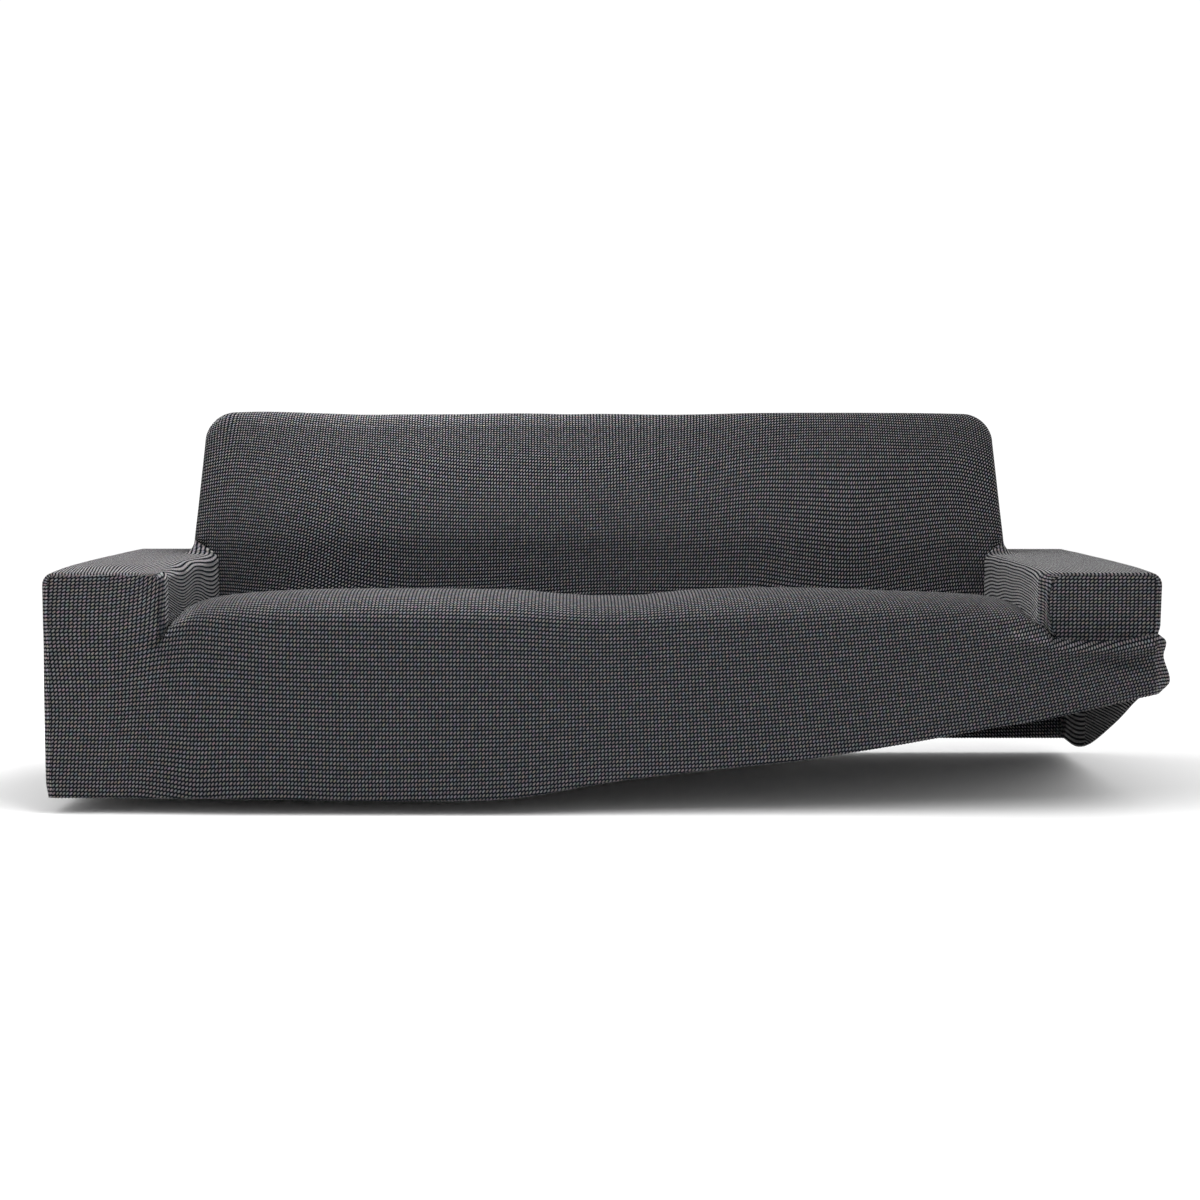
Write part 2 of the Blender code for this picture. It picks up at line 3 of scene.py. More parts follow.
import bmesh
import bpy
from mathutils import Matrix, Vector


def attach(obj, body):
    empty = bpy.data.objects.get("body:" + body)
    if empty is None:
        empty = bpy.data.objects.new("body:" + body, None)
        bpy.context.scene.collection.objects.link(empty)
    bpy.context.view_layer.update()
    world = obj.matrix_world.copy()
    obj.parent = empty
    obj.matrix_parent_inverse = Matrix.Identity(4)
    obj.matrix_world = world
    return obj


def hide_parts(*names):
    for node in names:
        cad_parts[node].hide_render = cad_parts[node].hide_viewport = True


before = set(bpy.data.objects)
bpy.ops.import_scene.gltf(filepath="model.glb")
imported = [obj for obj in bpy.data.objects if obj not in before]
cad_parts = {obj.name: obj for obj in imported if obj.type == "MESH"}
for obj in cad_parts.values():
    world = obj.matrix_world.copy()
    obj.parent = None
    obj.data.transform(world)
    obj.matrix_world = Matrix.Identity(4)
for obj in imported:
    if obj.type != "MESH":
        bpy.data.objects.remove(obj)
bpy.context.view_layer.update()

# ---- small helpers ----


def smoothStep(value):
    value = min(max(value, 0.0), 1.0)
    return value * value * (3.0 - 2.0 * value)


def between(start, end, share):
    return start + (end - start) * share


def shares(steps):
    return [step / steps for step in range(steps + 1)]


class CurveTable:
    # smooth curves through the named columns of a short table, read along its first column
    def __init__(self, names, *rows):
        self.places = [row[0] for row in rows]
        self.columns = {name: [row[index] for row in rows] for index, name in enumerate(names.split())}
        self.known = {}

    def at(self, name, position):
        key = (name, position)
        if key not in self.known:
            self.known[key] = self.read(self.columns[name], position)
        return self.known[key]

    def read(self, values, position):
        places = self.places
        position = min(max(position, places[0]), places[-1])
        last = len(places) - 2
        index = max(number for number in range(last + 1) if places[number] <= position)

        def slope(number):
            low, high = max(number - 1, 0), min(number + 1, last + 1)
            return (values[high] - values[low]) / (places[high] - places[low])

        width = places[index + 1] - places[index]
        share = (position - places[index]) / width
        square, cube = share * share, share * share * share
        return (
            (2 * cube - 3 * square + 1) * values[index]
            + (cube - 2 * square + share) * width * slope(index)
            + (3 * square - 2 * cube) * values[index + 1]
            + (cube - square) * width * slope(index + 1)
        )


def smallRows(*rows):
    # rows that are written in millimetres and in thousandths
    return [[value / 1000.0 for value in row] for row in rows]


def smallTable(names, *rows):
    return CurveTable(names, *smallRows(*rows))


def countStitches(table, column, position):
    # stitches from the table's first place to a position, each as wide as the column says there
    places, pitches = table.places, table.columns[column]
    total, start, pitch = 0.0, places[0], pitches[0]
    for place, nextPitch in zip(places[1:], pitches[1:]):
        stop = min(max(position, start), place)
        reached = between(pitch, nextPitch, (stop - start) / (place - start))
        total += (stop - start) * 2.0 / (pitch + reached)
        start, pitch = place, nextPitch
    return total + (position - min(max(position, places[0]), places[-1])) / pitch


# ---- camera, floor and light ----

studio = {
    "lens": 64.74,
    "sensor": 36.0,
    "cameraPlace": (-0.0036, -5.1092, -0.0333),
    "cameraTilt": 4.519,
    "floorHeight": -0.812,
    "floorColor": (0.97, 0.97, 0.97),
    "floorReach": 12.0,
    "world": 1.05,
    # of each light its place, target, width, length and power
    "topSoftbox": ((-0.36, -0.70, 0.66), (-0.26, -0.68, -0.30), 4.0, 0.20, 72.0),
    "frontSoftbox": ((-2.2, -5.0, 1.6), (0.0, -0.3, -0.4), 2.6, 2.0, 1.0),
}


def addObject(name, data):
    item = bpy.data.objects.new(name, data)
    bpy.context.scene.collection.objects.link(item)
    return item


def addPiece(name, shape, material):
    mesh = bpy.data.meshes.new(name)
    shape.to_mesh(mesh)
    shape.free()
    mesh.materials.append(material)
    return addObject(name, mesh)


def setCamera():
    camera = addObject("photoCamera", bpy.data.cameras.new("photoCamera"))
    camera.data.sensor_width = studio["sensor"]
    camera.data.lens = studio["lens"]
    camera.location = studio["cameraPlace"]
    camera.rotation_euler = (math.radians(90.0 - studio["cameraTilt"]), 0.0, 0.0)
    bpy.context.scene.camera = camera


def setLight(name, place, target, width, length, power):
    light = addObject(name, bpy.data.lights.new(name, "AREA"))
    light.data.shape = "RECTANGLE"
    light.data.size = width
    light.data.size_y = length
    light.data.energy = power
    light.visible_camera = False
    light.location = place
    light.rotation_euler = (Vector(place) - Vector(target)).to_track_quat("Z", "Y").to_euler()


# ---- shaders ----


class Field:
    # a socket that takes part in plain arithmetic
    def __init__(self, paint, socket):
        self.paint = paint
        self.socket = socket

    def output(self, number):
        return Field(self.paint, self.socket.node.outputs[number])

    def __add__(self, other):
        return self.paint.math("ADD", self, other)

    def __sub__(self, other):
        return self.paint.math("SUBTRACT", self, other)

    def __rsub__(self, other):
        return self.paint.math("SUBTRACT", other, self)

    def __mul__(self, other):
        return self.paint.math("MULTIPLY", self, other)

    def __truediv__(self, other):
        return self.paint.math("DIVIDE", self, other)

    def __rtruediv__(self, other):
        return self.paint.math("DIVIDE", other, self)

    def __pow__(self, other):
        return self.paint.math("POWER", self, other)

    __radd__, __rmul__ = __add__, __mul__


class Paint:
    def __init__(self, name, **constants):
        self.material = bpy.data.materials.new(name)
        self.material.use_nodes = True
        self.tree = self.material.node_tree
        self.shader = self.tree.nodes["Principled BSDF"]
        for socket, value in constants.items():
            self.shader.inputs[socket.replace("_", " ")].default_value = value

    def make(self, kind, settings=None, inputs=None):
        node = self.tree.nodes.new(kind)
        for name, value in (settings or {}).items():
            setattr(node, name, value)
        for key, value in (inputs or {}).items():
            if isinstance(value, Field):
                self.tree.links.new(value.socket, node.inputs[key])
            else:
                node.inputs[key].default_value = value
        return Field(self, node.outputs[0])

    def math(self, operation, *values):
        return self.make("ShaderNodeMath", {"operation": operation}, dict(enumerate(values)))

    def vector(self, operation, *values):
        return self.make("ShaderNodeVectorMath", {"operation": operation}, dict(enumerate(values)))

    def ramp(self, value, low, high):
        # 0 at low to 1 at high
        return self.make("ShaderNodeMapRange", {"interpolation_type": "SMOOTHSTEP"},
            {"Value": value, "From Min": low, "From Max": high})

    def mixColor(self, share, first, second):
        return self.make("ShaderNodeMix", {"data_type": "RGBA"}, {0: share, 6: first, 7: second}).output(2)

    def send(self, socket, value):
        self.tree.links.new(value.socket, self.shader.inputs[socket])

    def bump(self, height, distance, strength):
        inputs = {"Height": height, "Distance": distance, "Strength": strength}
        normal = self.make("ShaderNodeBump", None, inputs)
        self.send("Normal", normal)
        return normal

    def layOver(self, share, ground):
        # the painted shader lies over another one as far as the share says
        painted = Field(self, self.shader.outputs[0])
        mixed = self.make("ShaderNodeMixShader", None, {0: share, 1: ground, 2: painted})
        self.tree.links.new(mixed.socket, self.tree.nodes["Material Output"].inputs[0])


knit = {
    "puff": (0.138, 0.130, 0.133),
    # the ground between puffs: dark yarn deepened by painted shade
    "recess": (0.0034, 0.0052, 0.0070, 1.0),
    "roughness": 0.95,
    "fuzz": 0.20,
    "slant": 0.12,
    "puffEdge": (1.10, 0.10),    # where a puff's oval fades out and where it is full
    "spark": 0.32,               # how much the puffs differ in brightness
    "plain": 0.84,               # and how bright the darkest is
    # how strongly painted shade darkens the puffs
    "paintedShadeDepth": 0.85,
    "driftScale": 0.55,
    "tintSpan": (0.66, 0.40, 0.60),
    "tintStart": (0.68, 0.80, 0.71),
    "yarnTurns": (3.0, 2.0),     # yarn lines over one puff, along and across its row
    "yarnShare": 0.15,
    "relief": 0.0013,
    "reliefStrength": 0.9,
}


def knitPaint(name, tilt, halfLength, halfWidth, sheen, paintedLightLevel):
    paint = Paint(name, Roughness=knit["roughness"], Metallic=0.0, Specular_IOR_Level=0.0, Sheen_Weight=sheen,
        Sheen_Roughness=knit["fuzz"])
    uv = paint.make("ShaderNodeUVMap", {"uv_map": "knit"})
    u = paint.make("ShaderNodeSeparateXYZ", None, {0: uv})
    v = u.output(1)
    row = paint.math("FLOOR", v)
    acrossRow = v - row - 0.5
    shifted = u - acrossRow * knit["slant"]
    column = paint.math("FLOOR", shifted)
    alongRow = shifted - column - 0.5
    # each puff of the waffle is a leaning oval, and the ground between puffs is painted nearly black, the
    # yarn's own dark grey deepened by painted shade for the knit's hollows
    cosine, sine = math.cos(math.radians(tilt)), math.sin(math.radians(tilt))
    lengthwise, crosswise = alongRow * cosine + acrossRow * sine, acrossRow * cosine - alongRow * sine
    puff = paint.ramp((lengthwise / halfLength) ** 2.0 + (crosswise / halfWidth) ** 2.0, *knit["puffEdge"])
    cell = paint.make("ShaderNodeCombineXYZ", None, {0: column, 1: row})
    spark = paint.make("ShaderNodeTexWhiteNoise", {"noise_dimensions": "2D"}, {"Vector": cell})
    # the attribute paints shade into the knit where it is above zero and paints light into it where it is
    # below
    paintedShadeAndLight = paint.make("ShaderNodeAttribute", {"attribute_name": "paintedShadeAndLight"}).output(2)
    paintedLightGain = 1.0 - paint.math("MINIMUM", paintedShadeAndLight, 0.0)
    # the puffs' own random tone, times the piece's painted light level and the painted light
    puffToneAndPaintedLight = (spark * (knit["spark"] * paintedLightLevel) + knit["plain"] * paintedLightLevel) * paintedLightGain
    # the melange yarn drifts between a reddish and a bluish grey every few stitches
    drift = paint.make("ShaderNodeTexNoise", {"noise_dimensions": "2D"},
        {"Vector": uv, "Scale": knit["driftScale"], "Detail": 1.0}).output(1)
    tint = paint.vector("MULTIPLY_ADD", drift, knit["tintSpan"], knit["tintStart"])
    tinted = paint.vector("MULTIPLY", tint, knit["puff"])
    shaded = paint.make("ShaderNodeVectorMath", {"operation": "SCALE"}, {0: tinted, "Scale": puffToneAndPaintedLight})
    # fine yarn lines lean across each puff
    alongTurns, acrossTurns = knit["yarnTurns"]
    yarn = paint.math("SINE", (alongRow * alongTurns - acrossRow * acrossTurns) * (2.0 * math.pi)) * 0.5 + 0.5
    # painted shade shrinks the light puffs towards the dark ground
    puffShareUnderPaintedShade = puff * (1.0 - paint.math("MAXIMUM", paintedShadeAndLight, 0.0) * knit["paintedShadeDepth"])
    paint.send("Base Color", paint.mixColor(yarn * knit["yarnShare"], shaded, knit["recess"]))
    height = puff * (1.0 - knit["yarnShare"]) + yarn * puff * knit["yarnShare"]
    ground = {"Base Color": knit["recess"], "Roughness": 1.0, "Specular IOR Level": 0.0,
        "Normal": paint.bump(height, knit["relief"], knit["reliefStrength"])}
    paint.layOver(puffShareUnderPaintedShade, paint.make("ShaderNodeBsdfPrincipled", None, ground))
    return paint.material


def yarnPaint(name, color, darkest, grainScale):
    paint = Paint(name, Roughness=knit["roughness"], Metallic=0.0)
    place = paint.make("ShaderNodeTexCoord").output(3)
    grain = paint.make("ShaderNodeTexNoise", None, {"Vector": place, "Scale": grainScale, "Detail": 2.0})
    darker = tuple(value * darkest for value in color)
    paint.send("Base Color", paint.mixColor(grain, (*darker, 1.0), (*color, 1.0)))
    paint.bump(grain, 0.0004, 0.5)
    return paint.material


# ---- the stretched form that every piece of cloth follows ----

form = {
    "halfWidth": 1.125,          # centre to the outer side of an arm
    "depth": 0.857,              # arm fronts to the rear
    "armTop": 0.457,
    "armInner": 0.880,
    "armInnerRadius": 0.014,
    "armOuterRadius": 0.025,
    "edgeRadius": 0.010,
    "seamInset": 0.012,
    "seamFoot": 0.331,           # the height at which an arm front's inner seam starts
    "nearSeam": 0.95,            # cloth nearer the middle than this belongs to the arm's inner side
    "topInset": 0.5,             # the seams over the arm tops sit this much nearer the edge
    "backTop": 0.781,
    "backFace": 0.620,
    "backLean": 0.20,
    "backLeanStart": 0.492,
    "backCornerRadius": 0.066,
    "backEdgeRadius": 0.028,
    "backCrown": 0.010,
    "creaseGap": 0.003,          # between an arm and the inside back
    "cloth": 0.0026,
    "seam": 0.0003,
    "hemTuck": 0.0035,
    "hang": Vector((0.0, 0.780, 0.778)),   # from the lowest hem at the arm fronts to the part's origin
    "weld": 0.00005,
}

# the centres of the bends along an arm's top edges
innerBend = (form["armInner"] + form["armInnerRadius"], form["armTop"] - form["armInnerRadius"])
outerBend = (form["halfWidth"] - form["armOuterRadius"], form["armTop"] - form["armOuterRadius"])

# soft changes: where each begins and how far it runs
fades = {
    "topEdge": (0.661, 0.120),
    "crownUp": (0.415, 0.040),
    "crownDown": (0.510, 0.060),
    "crownOut": (0.878, 0.025),
    "armSwell": (0.330, 0.020),
    "swellOut": (1.000, 0.110),
    "swellBack": (0.680, 0.140),
    "hemUp": (0.000, 0.030),
    "hemOut": (1.080, 0.030),
    "squeeze": (0.660, 0.120),
    "fan": (0.150, 0.250),
    "leftTighter": (-0.880, -0.060),
    "rightTighter": (0.360, 0.060),
    "lateDusk": (0.680, 0.140),
    "seam": (innerBend[0], 0.050),
    "frontFold": (0.600, 0.300),
    "seatSide": (0.872, 0.008),
    "seatRear": (0.608, 0.012),
    "rightFrontLow": (0.395, -0.060),
    "rightFrontOut": (1.110, -0.080),
    "rightRise": (0.040, 0.160),
    "foldFoot": (0.326, 0.035),
    "edgeDusk": (0.445, -0.050),
}


def fade(name, value):
    start, run = fades[name]
    return smoothStep((value - start) / run)


leftEnd = {"side": -1, "backLow": 0.9385, "backHigh": 0.9190, "climb": 0.032, "reach": 0.028, "crown": 0.80,
    "sideSwell": 0.0030, "skirtSwell": 0.0026}
rightEnd = {"side": 1, "backLow": 0.9270, "backHigh": 0.9064, "climb": 0.030, "reach": 0.036, "crown": 0.56,
    "sideSwell": 0.0044, "skirtSwell": 0.0000}

# the skirt from the left side round the front to the right side
skirt = smallTable(
    "around hem top hemOut bellyOut waistOut lipOut topOut",
    (-1990, 0, 346, 0, 0, 0, 0, 0),
    (-1125, 0, 346, 0, 1, 1, 0, 0),
    (-1010, 0, 346, 0, 3, 2, 0, 0),
    (-940, 0, 346, 3, 8, 8, 3, -1),
    (-915, 0, 336, 5, 11, 11, 4, -4),
    (-892, 0, 324, 6, 14, 14, 6, -6),
    (-872, 0, 341, 8, 16, 17, 10, 1),
    (-820, 1, 352, 12, 19, 21, 19, 14),
    (-700, 1, 358, 19, 23, 26, 27, 25),
    (-326, -2, 360, 24, 27, 29, 30, 29),
    (-185, 3, 359, 26, 27, 29, 30, 29),
    (-84, 19, 356, 28, 27, 28, 29, 28),
    (-4, 34, 354, 29, 27, 28, 29, 28),
    (157, 56, 357, 30, 28, 29, 30, 29),
    (398, 82, 361, 30, 29, 30, 31, 30),
    (599, 113, 360, 29, 30, 30, 31, 29),
    (799, 149, 357, 25, 30, 29, 30, 25),
    (892, 162, 349, 20, 28, 26, 28, -2),
    (908, 166, 330, 18, 27, 24, 26, -3),
    (950, 175, 321, 16, 26, 21, 26, -4),
    (1033, 194, 320, 12, 26, 14, 22, -4),
    (1113, 210.5, 332, 6, 24, 11, 16, -3),
    (1135, 214, 334, 4, 23, 10, 14, -2),
    (1280, 190, 336, 6, 19, 8, 10, -1),
    (1500, 105, 341, 6, 10, 5, 4, 0),
    (1740, 20, 346, 2, 2, 1, 0, 0),
    (1850, 0, 346, 0, 0, 0, 0, 0),
    (1990, 0, 346, 0, 0, 0, 0, 0),
)
skirtKnots = (("hemOut", 0.0), ("bellyOut", 0.20), ("waistOut", 0.62), ("lipOut", 0.88), ("topOut", 1.0))
skirtColumns = {}


def skirtPoint(around, share):
    # how far the skirt stands out and its height, at a share of the way from hem to top
    if around not in skirtColumns:
        rows = [(place, skirt.at(name, around)) for name, place in skirtKnots]
        skirtColumns[around] = CurveTable("share out", *rows)
    height = between(skirt.at("hem", around), skirt.at("top", around), share)
    return skirtColumns[around].at("out", share), height


def backFaceDepth(height):
    return form["backFace"] + form["backLean"] * max(height - form["backLeanStart"], 0.0)


topEdge = smallTable(
    "x rise",
    (-930, 0), (-790, 5), (-650, 1.2), (-550, -2), (-460, -1.2), (-330, -0.8), (-230, 1), (-144, 0.6),
    (-80, -1), (0, 0), (130, -1.8), (210, -1.5), (370, 2), (700, 2), (830, 0), (920, -3),
)


armCrown = smallTable(
    "depth rise",
    (0, 0), (60, 3), (150, 5.8), (300, 6.5), (450, 6), (600, 4.5), (750, 3.6), (857, 2.8),
)


def hangPoint(point):
    # the arm tops' soft crown and the rises and falls of the back's top edge, then to the part's own frame
    rise = fade("topEdge", point.z) * topEdge.at("rise", round(point.x, 5))
    near = fade("crownUp", point.z) * (1.0 - fade("crownDown", point.z))
    if near:
        near *= fade("crownOut", abs(point.x)) * (leftEnd if point.x < 0 else rightEnd)["crown"]
        rise += near * armCrown.at("rise", round(min(max(point.y, 0.0), form["depth"]), 5))
    return point + Vector((0.0, 0.0, rise)) - form["hang"]


def arcPoints(centreX, centreZ, radius, start, end, steps):
    points = []
    for share in shares(steps):
        angle = math.radians(between(start, end, share))
        normal = Vector((math.cos(angle), math.sin(angle)))
        points.append((Vector((centreX, centreZ)) + radius * normal, normal))
    return points


# ---- how the rows and columns of stitches run ----

# the heights from which rows are counted
knitStarts = {"front": 0.200, "back": 0.600, "rightFront": 0.320}

# over the front: how far the rows have risen, the height and width of a stitch, and the columns' lean
frontKnit = smallTable(
    "x hump rise rowPitch columnPitch lean",
    (-1125, 0, 0, 8.1, 8, 0),
    (-1000, 1, 0, 8.2, 7.8, -20),
    (-940, 7, 0, 8.3, 7.4, -70),
    (-880, 13.5, 0, 8.7, 7.1, -80),
    (-820, 15, 0, 9.1, 7, -60),
    (-750, 13, 0, 8.9, 7, -30),
    (-650, 7, 0, 8.7, 7.1, -10),
    (-500, 2, 0, 8.8, 7.1, 0),
    (-200, 0, 2, 8.5, 7.2, 0),
    (0, 0, 5.5, 7.8, 7.2, 20),
    (200, 0, 15, 7.8, 7.1, 45),
    (400, 0, 29, 7.7, 7, 100),
    (600, 0, 48.4, 7.5, 7, 130),
    (800, 0, 74.8, 7.2, 7.1, 190),
    (960, 0, 106, 7, 7.2, 270),
    (1050, 0, 127.6, 6.9, 7.1, 330),
    (1125, 0, 144, 6.9, 7, 340),
)


def frontStitch(x, height):
    place = round(x, 5)
    low = height - knitStarts["front"]
    humpShare = between(0.4, 1.0, min(max(height / 0.30, 0.0), 1.0))
    rise = frontKnit.at("rise", place) + humpShare * frontKnit.at("hump", place)
    column = countStitches(frontKnit, "columnPitch", place)
    lean = frontKnit.at("lean", place) * min(low, 0.30) / frontKnit.at("columnPitch", place)
    return column + lean, (low - rise) / frontKnit.at("rowPitch", place)


# over the inside back: how far the rows hang below the left end's, at the top and at the foot
backKnit = smallTable(
    "x sagTop sagFoot rowPitch columnPitch lean",
    (-940, 23, 5, 7.8, 6.2, 0),
    (-880, 4, 0, 7.8, 5.6, -50),
    (-830, 0, 0, 7.9, 5.6, -140),
    (-690, 17, 17, 7.9, 7, -130),
    (-580, 39, 42, 8.4, 6.5, -60),
    (-460, 58, 59, 8.6, 6.3, 0),
    (-350, 67, 66, 8.2, 6.5, 0),
    (-230, 71, 67, 7.9, 6.7, 0),
    (0, 69, 60, 7.5, 7.1, 20),
    (230, 50, 42, 8.4, 6.8, -30),
    (350, 37, 31, 9, 6.4, -30),
    (460, 30, 43, 9.2, 6.2, -40),
    (580, 25, 55, 9, 6.1, 30),
    (690, 22, 45, 8.6, 6, 80),
    (810, 25, 30, 8.4, 5.9, 120),
    (880, 39, 36, 8, 6, 140),
    (930, 62, 44, 7.8, 6.2, 140),
)


def backStitch(x, height):
    place = round(x, 5)
    footShare = min(max((0.72 - height) / 0.26, 0.0), 1.0)
    sag = between(backKnit.at("sagTop", place), backKnit.at("sagFoot", place), footShare)
    low = height - knitStarts["back"]
    rowPitch = backKnit.at("rowPitch", place) * (1.0 - 0.16 * fade("squeeze", height))
    lean = backKnit.at("lean", place) * low / backKnit.at("columnPitch", place)
    return countStitches(backKnit, "columnPitch", place) + lean, (low + sag) / rowPitch


# ---- laying cloth ----


def layPatch(cloth, columns, rows, place, stitch, shade=None):
    # a grid of cloth, each point set on its place and given its painted shade, and each corner given its
    # count of stitches
    knitLayer = cloth.loops.layers.uv.get("knit") or cloth.loops.layers.uv.new("knit")
    paintedShadeLayer = cloth.verts.layers.float.get("paintedShadeAndLight") or cloth.verts.layers.float.new("paintedShadeAndLight")
    grid = bmesh.ops.create_grid(cloth, x_segments=columns - 1, y_segments=rows - 1, size=0.5)
    where = {}
    for vertex in grid["verts"]:
        i = round((vertex.co.x + 0.5) * (columns - 1))
        j = round((vertex.co.y + 0.5) * (rows - 1))
        where[vertex] = (i, j)
        vertex.co = hangPoint(place(i, j))
        vertex[paintedShadeLayer] = min(shade(i, j), 1.0) if shade else 0.0
    for face in {face for vertex in grid["verts"] for face in vertex.link_faces}:
        lowest = min(where[loop.vert][1] for loop in face.loops)
        for loop in face.loops:
            i, j = where[loop.vert]
            loop[knitLayer].uv = stitch(i, j, lowest)


def sewCloth(name, patches, mirrored, look):
    cloth = bmesh.new()
    for patch in patches:
        layPatch(cloth, *patch)
    bmesh.ops.remove_doubles(cloth, verts=cloth.verts, dist=form["weld"])
    if mirrored:
        bmesh.ops.reverse_faces(cloth, faces=cloth.faces)
    area = sum(face.calc_area() for face in cloth.faces)
    piece = addPiece(name, cloth, knitPaint(name + "Knit", *look))
    piece.data.shade_smooth()
    thickness = piece.modifiers.new("cloth thickness", "SOLIDIFY")
    thickness.thickness = form["cloth"]
    thickness.offset = -1.0
    print(name, "cloth area", round(area, 3), "faces", len(piece.data.polygons))
    return piece


# ---- front and seat ----

seat = {
    # the last number of each look is its painted light level: the same knit painted lighter or darker for the
    # light the piece gets
    "look": (45.0, 0.56, 0.33, 0.50, 0.92),    # lean, half length and half width of puffs, fuzz, painted light level
    "crestDepth": 0.120,
    "tuckedDusk": 0.9,
    "faceDepth": 0.10,
    "fall": 0.046,
    "fallPower": 1.25,
    "skirtRows": 60,
    "edgeColumns": (0.8923, 0.8875, 0.8835, 0.8797, 0.8750, 0.8700, 0.8650, 0.8595, 0.8535, 0.8470,
        0.8400, 0.8325, 0.8240, 0.8150, 0.8050, 0.7940),
    "middleColumns": 194,
    "roundRows": 24,
    "flatRows": 26,
    "armColumns": 34,
    "armCrowding": 1.25,
    "notchColumns": 6,
    "armRows": 18,
    "cornerRows": 7,
}
seatCrest = smallTable(
    "x height",
    (-880, 351), (-865, 369), (-840, 386), (-800, 398.5), (-740, 407), (-600, 414.5), (-420, 416),
    (-170, 413), (-93, 406), (-12, 401.5), (77, 402.2), (164, 411.5), (251, 416.5), (410, 418), (583, 412.5),
    (730, 407), (800, 401), (845, 388), (866, 371), (880, 351),
)

# soft folds of the front in x and height: from, to, half width, how far each stands out, how dark it is
# painted (painted shade in its hollow; below zero, painted light)
frontFolds = smallRows(
    (-862, 366, -886, 326, 5.5, -4, 450),  # the notch between seat and left arm
    (-886, 326, -903, 308, 6, -5, 280),
    (-903, 308, -920, 292, 9, -3, 100),
    (-850, 352, -888, 310, 10, 4.5, 0),
    (868, 372, 890, 352, 4, -3, 250),  # the seat's fold before the right arm
    (890, 352, 912, 327, 3.6, -5, 300),
    (850, 378, 896, 330, 8, 4, 0),
    (835, 390, 880, 352, 4.5, -2.2, 200),
    (815, 392, 868, 350, 4.5, 1.6, 0),
    (-835, 372, -881, 333, 11, 0, -600),  # light on the seat's left end
    (912, 327, 975, 319.5, 4, -4, 150),  # under the right arm
    (975, 319.5, 1050, 324, 4, -4, 150),
    (1050, 324, 1116, 337, 4, -4, 150),
    (836, 328, 905, 309, 11, 8, 0),  # the roll of loose cloth below it
    (924, 306, 1018, 302, 11, 13, 0),
    (1038, 304, 1112, 311, 11, 12, 0),
    (790, 386, 862, 356, 16, 0, -300),  # light on the seat's right end and on the roll
    (826, 338, 915, 315, 7, 0, -500),
    (915, 315, 990, 309, 7, 0, -550),
    (990, 309, 1063, 315, 7, 0, -500),
    (1063, 315, 1123, 319, 7, 0, -400),
    (985, 296, 1075, 272, 12, -4.5, 120),
    (960, 266, 1100, 254, 16, 3, 0),
)


def foldsAt(x, height):
    # how far the folds stand out at a place, and how deep in shade it lies
    total, dark, light = 0.0, 0.0, 0.0
    for startX, startZ, endX, endZ, width, rise, shade in frontFolds:
        runX, runZ = endX - startX, endZ - startZ
        along = ((x - startX) * runX + (height - startZ) * runZ) / (runX * runX + runZ * runZ)
        nearest = min(max(along, 0.0), 1.0)
        away = math.hypot(x - startX - nearest * runX, height - startZ - nearest * runZ) / width
        if away < 3.0:
            total += rise * math.exp(-away * away)
            dark = max(dark, shade * math.exp(-away * away))
            light = max(light, -shade * math.exp(-away * away))
    return total, dark - light


# painted shade: the knit is painted darker low on the front and low on the back, where less light falls; the
# middle of each is darkest
duskAcross = smallTable(
    "x front back",
    (-1130, -60, 200), (-1000, 0, 200), (-800, 200, 220), (-500, 320, 220), (-100, 360, 160), (300, 320, 80),
    (600, 240, 0), (900, 160, 0), (1130, 100, 0),
)
dusk = {
    "front": (0.408, 0.350),     # from which height down it starts and from which it is full
    "late": 0.060,               # how much lower it starts at the right end
    "back": (0.600, 0.480),
    "backMiddle": (0.16, -0.15, 0.45),    # a broad painted shade on the inside back: how dark, where, how wide
    # painted light over the left arm's front, below zero, and painted shade low on the right arm's front
    "leftArm": -0.09,
    "rightArm": 0.20,
}


def duskAt(name, x, height, later=0.0):
    begins, full = dusk[name]
    return duskAcross.at(name, x) * smoothStep((begins - later - height) / (begins - full))


def frontShade(x, height):
    # painted shade low on the front, with the folds' painted shade and light
    shade = duskAt("front", x, height, dusk["late"] * fade("lateDusk", x))
    return shade + (1.0 - shade) * foldsAt(x, height)[1]


def foldOut(x, height):
    return foldsAt(x, height)[0]


def seatColumns():
    edge = seat["edgeColumns"]
    inner = edge[-1]
    middle = [between(-inner, inner, share) for share in shares(seat["middleColumns"])]
    return [-value for value in edge[:-1]] + middle + list(edge[:-1][::-1])


def seatFall(depth):
    share = (depth - seat["crestDepth"]) / (form["backFace"] - seat["crestDepth"])
    return seat["fall"] * min(max(share, 0.0), 1.0) ** seat["fallPower"]


def seatPoint(x, row):
    # over the rounded front first, then back to the inside back
    out, start = skirtPoint(x, 1.0)
    limit = form["armInner"] - form["seam"]
    seatX = min(max(x, -limit), limit)
    crest = seatCrest.at("height", seatX)
    if row == 0:
        return Vector((x, -out - foldOut(x, start), start))
    rounding, flat = seat["roundRows"], seat["flatRows"]
    if row <= rounding:
        angle = math.radians(90.0 * row / rounding)
        depth = -out + (seat["crestDepth"] + out) * (1.0 - math.cos(angle))
        height = between(start, crest, math.sin(angle))
        fold = foldOut(x, height)
        return Vector((seatX, depth - fold * math.cos(angle), height + fold * math.sin(angle)))
    depth = between(seat["crestDepth"], form["backFace"] - form["seam"], (row - rounding) / flat)
    return Vector((seatX, depth, crest - seatFall(depth)))


# how far the right arm's cloth reaches over its front before the seam
rightSeam = smallTable(
    "z shift",
    (300, 33), (331, 31.5), (345, 26.5), (360, 22.5), (400, 20), (426.4, 23.5), (439.8, 29), (453.1, 34.5),
    (457, 35.5),
)


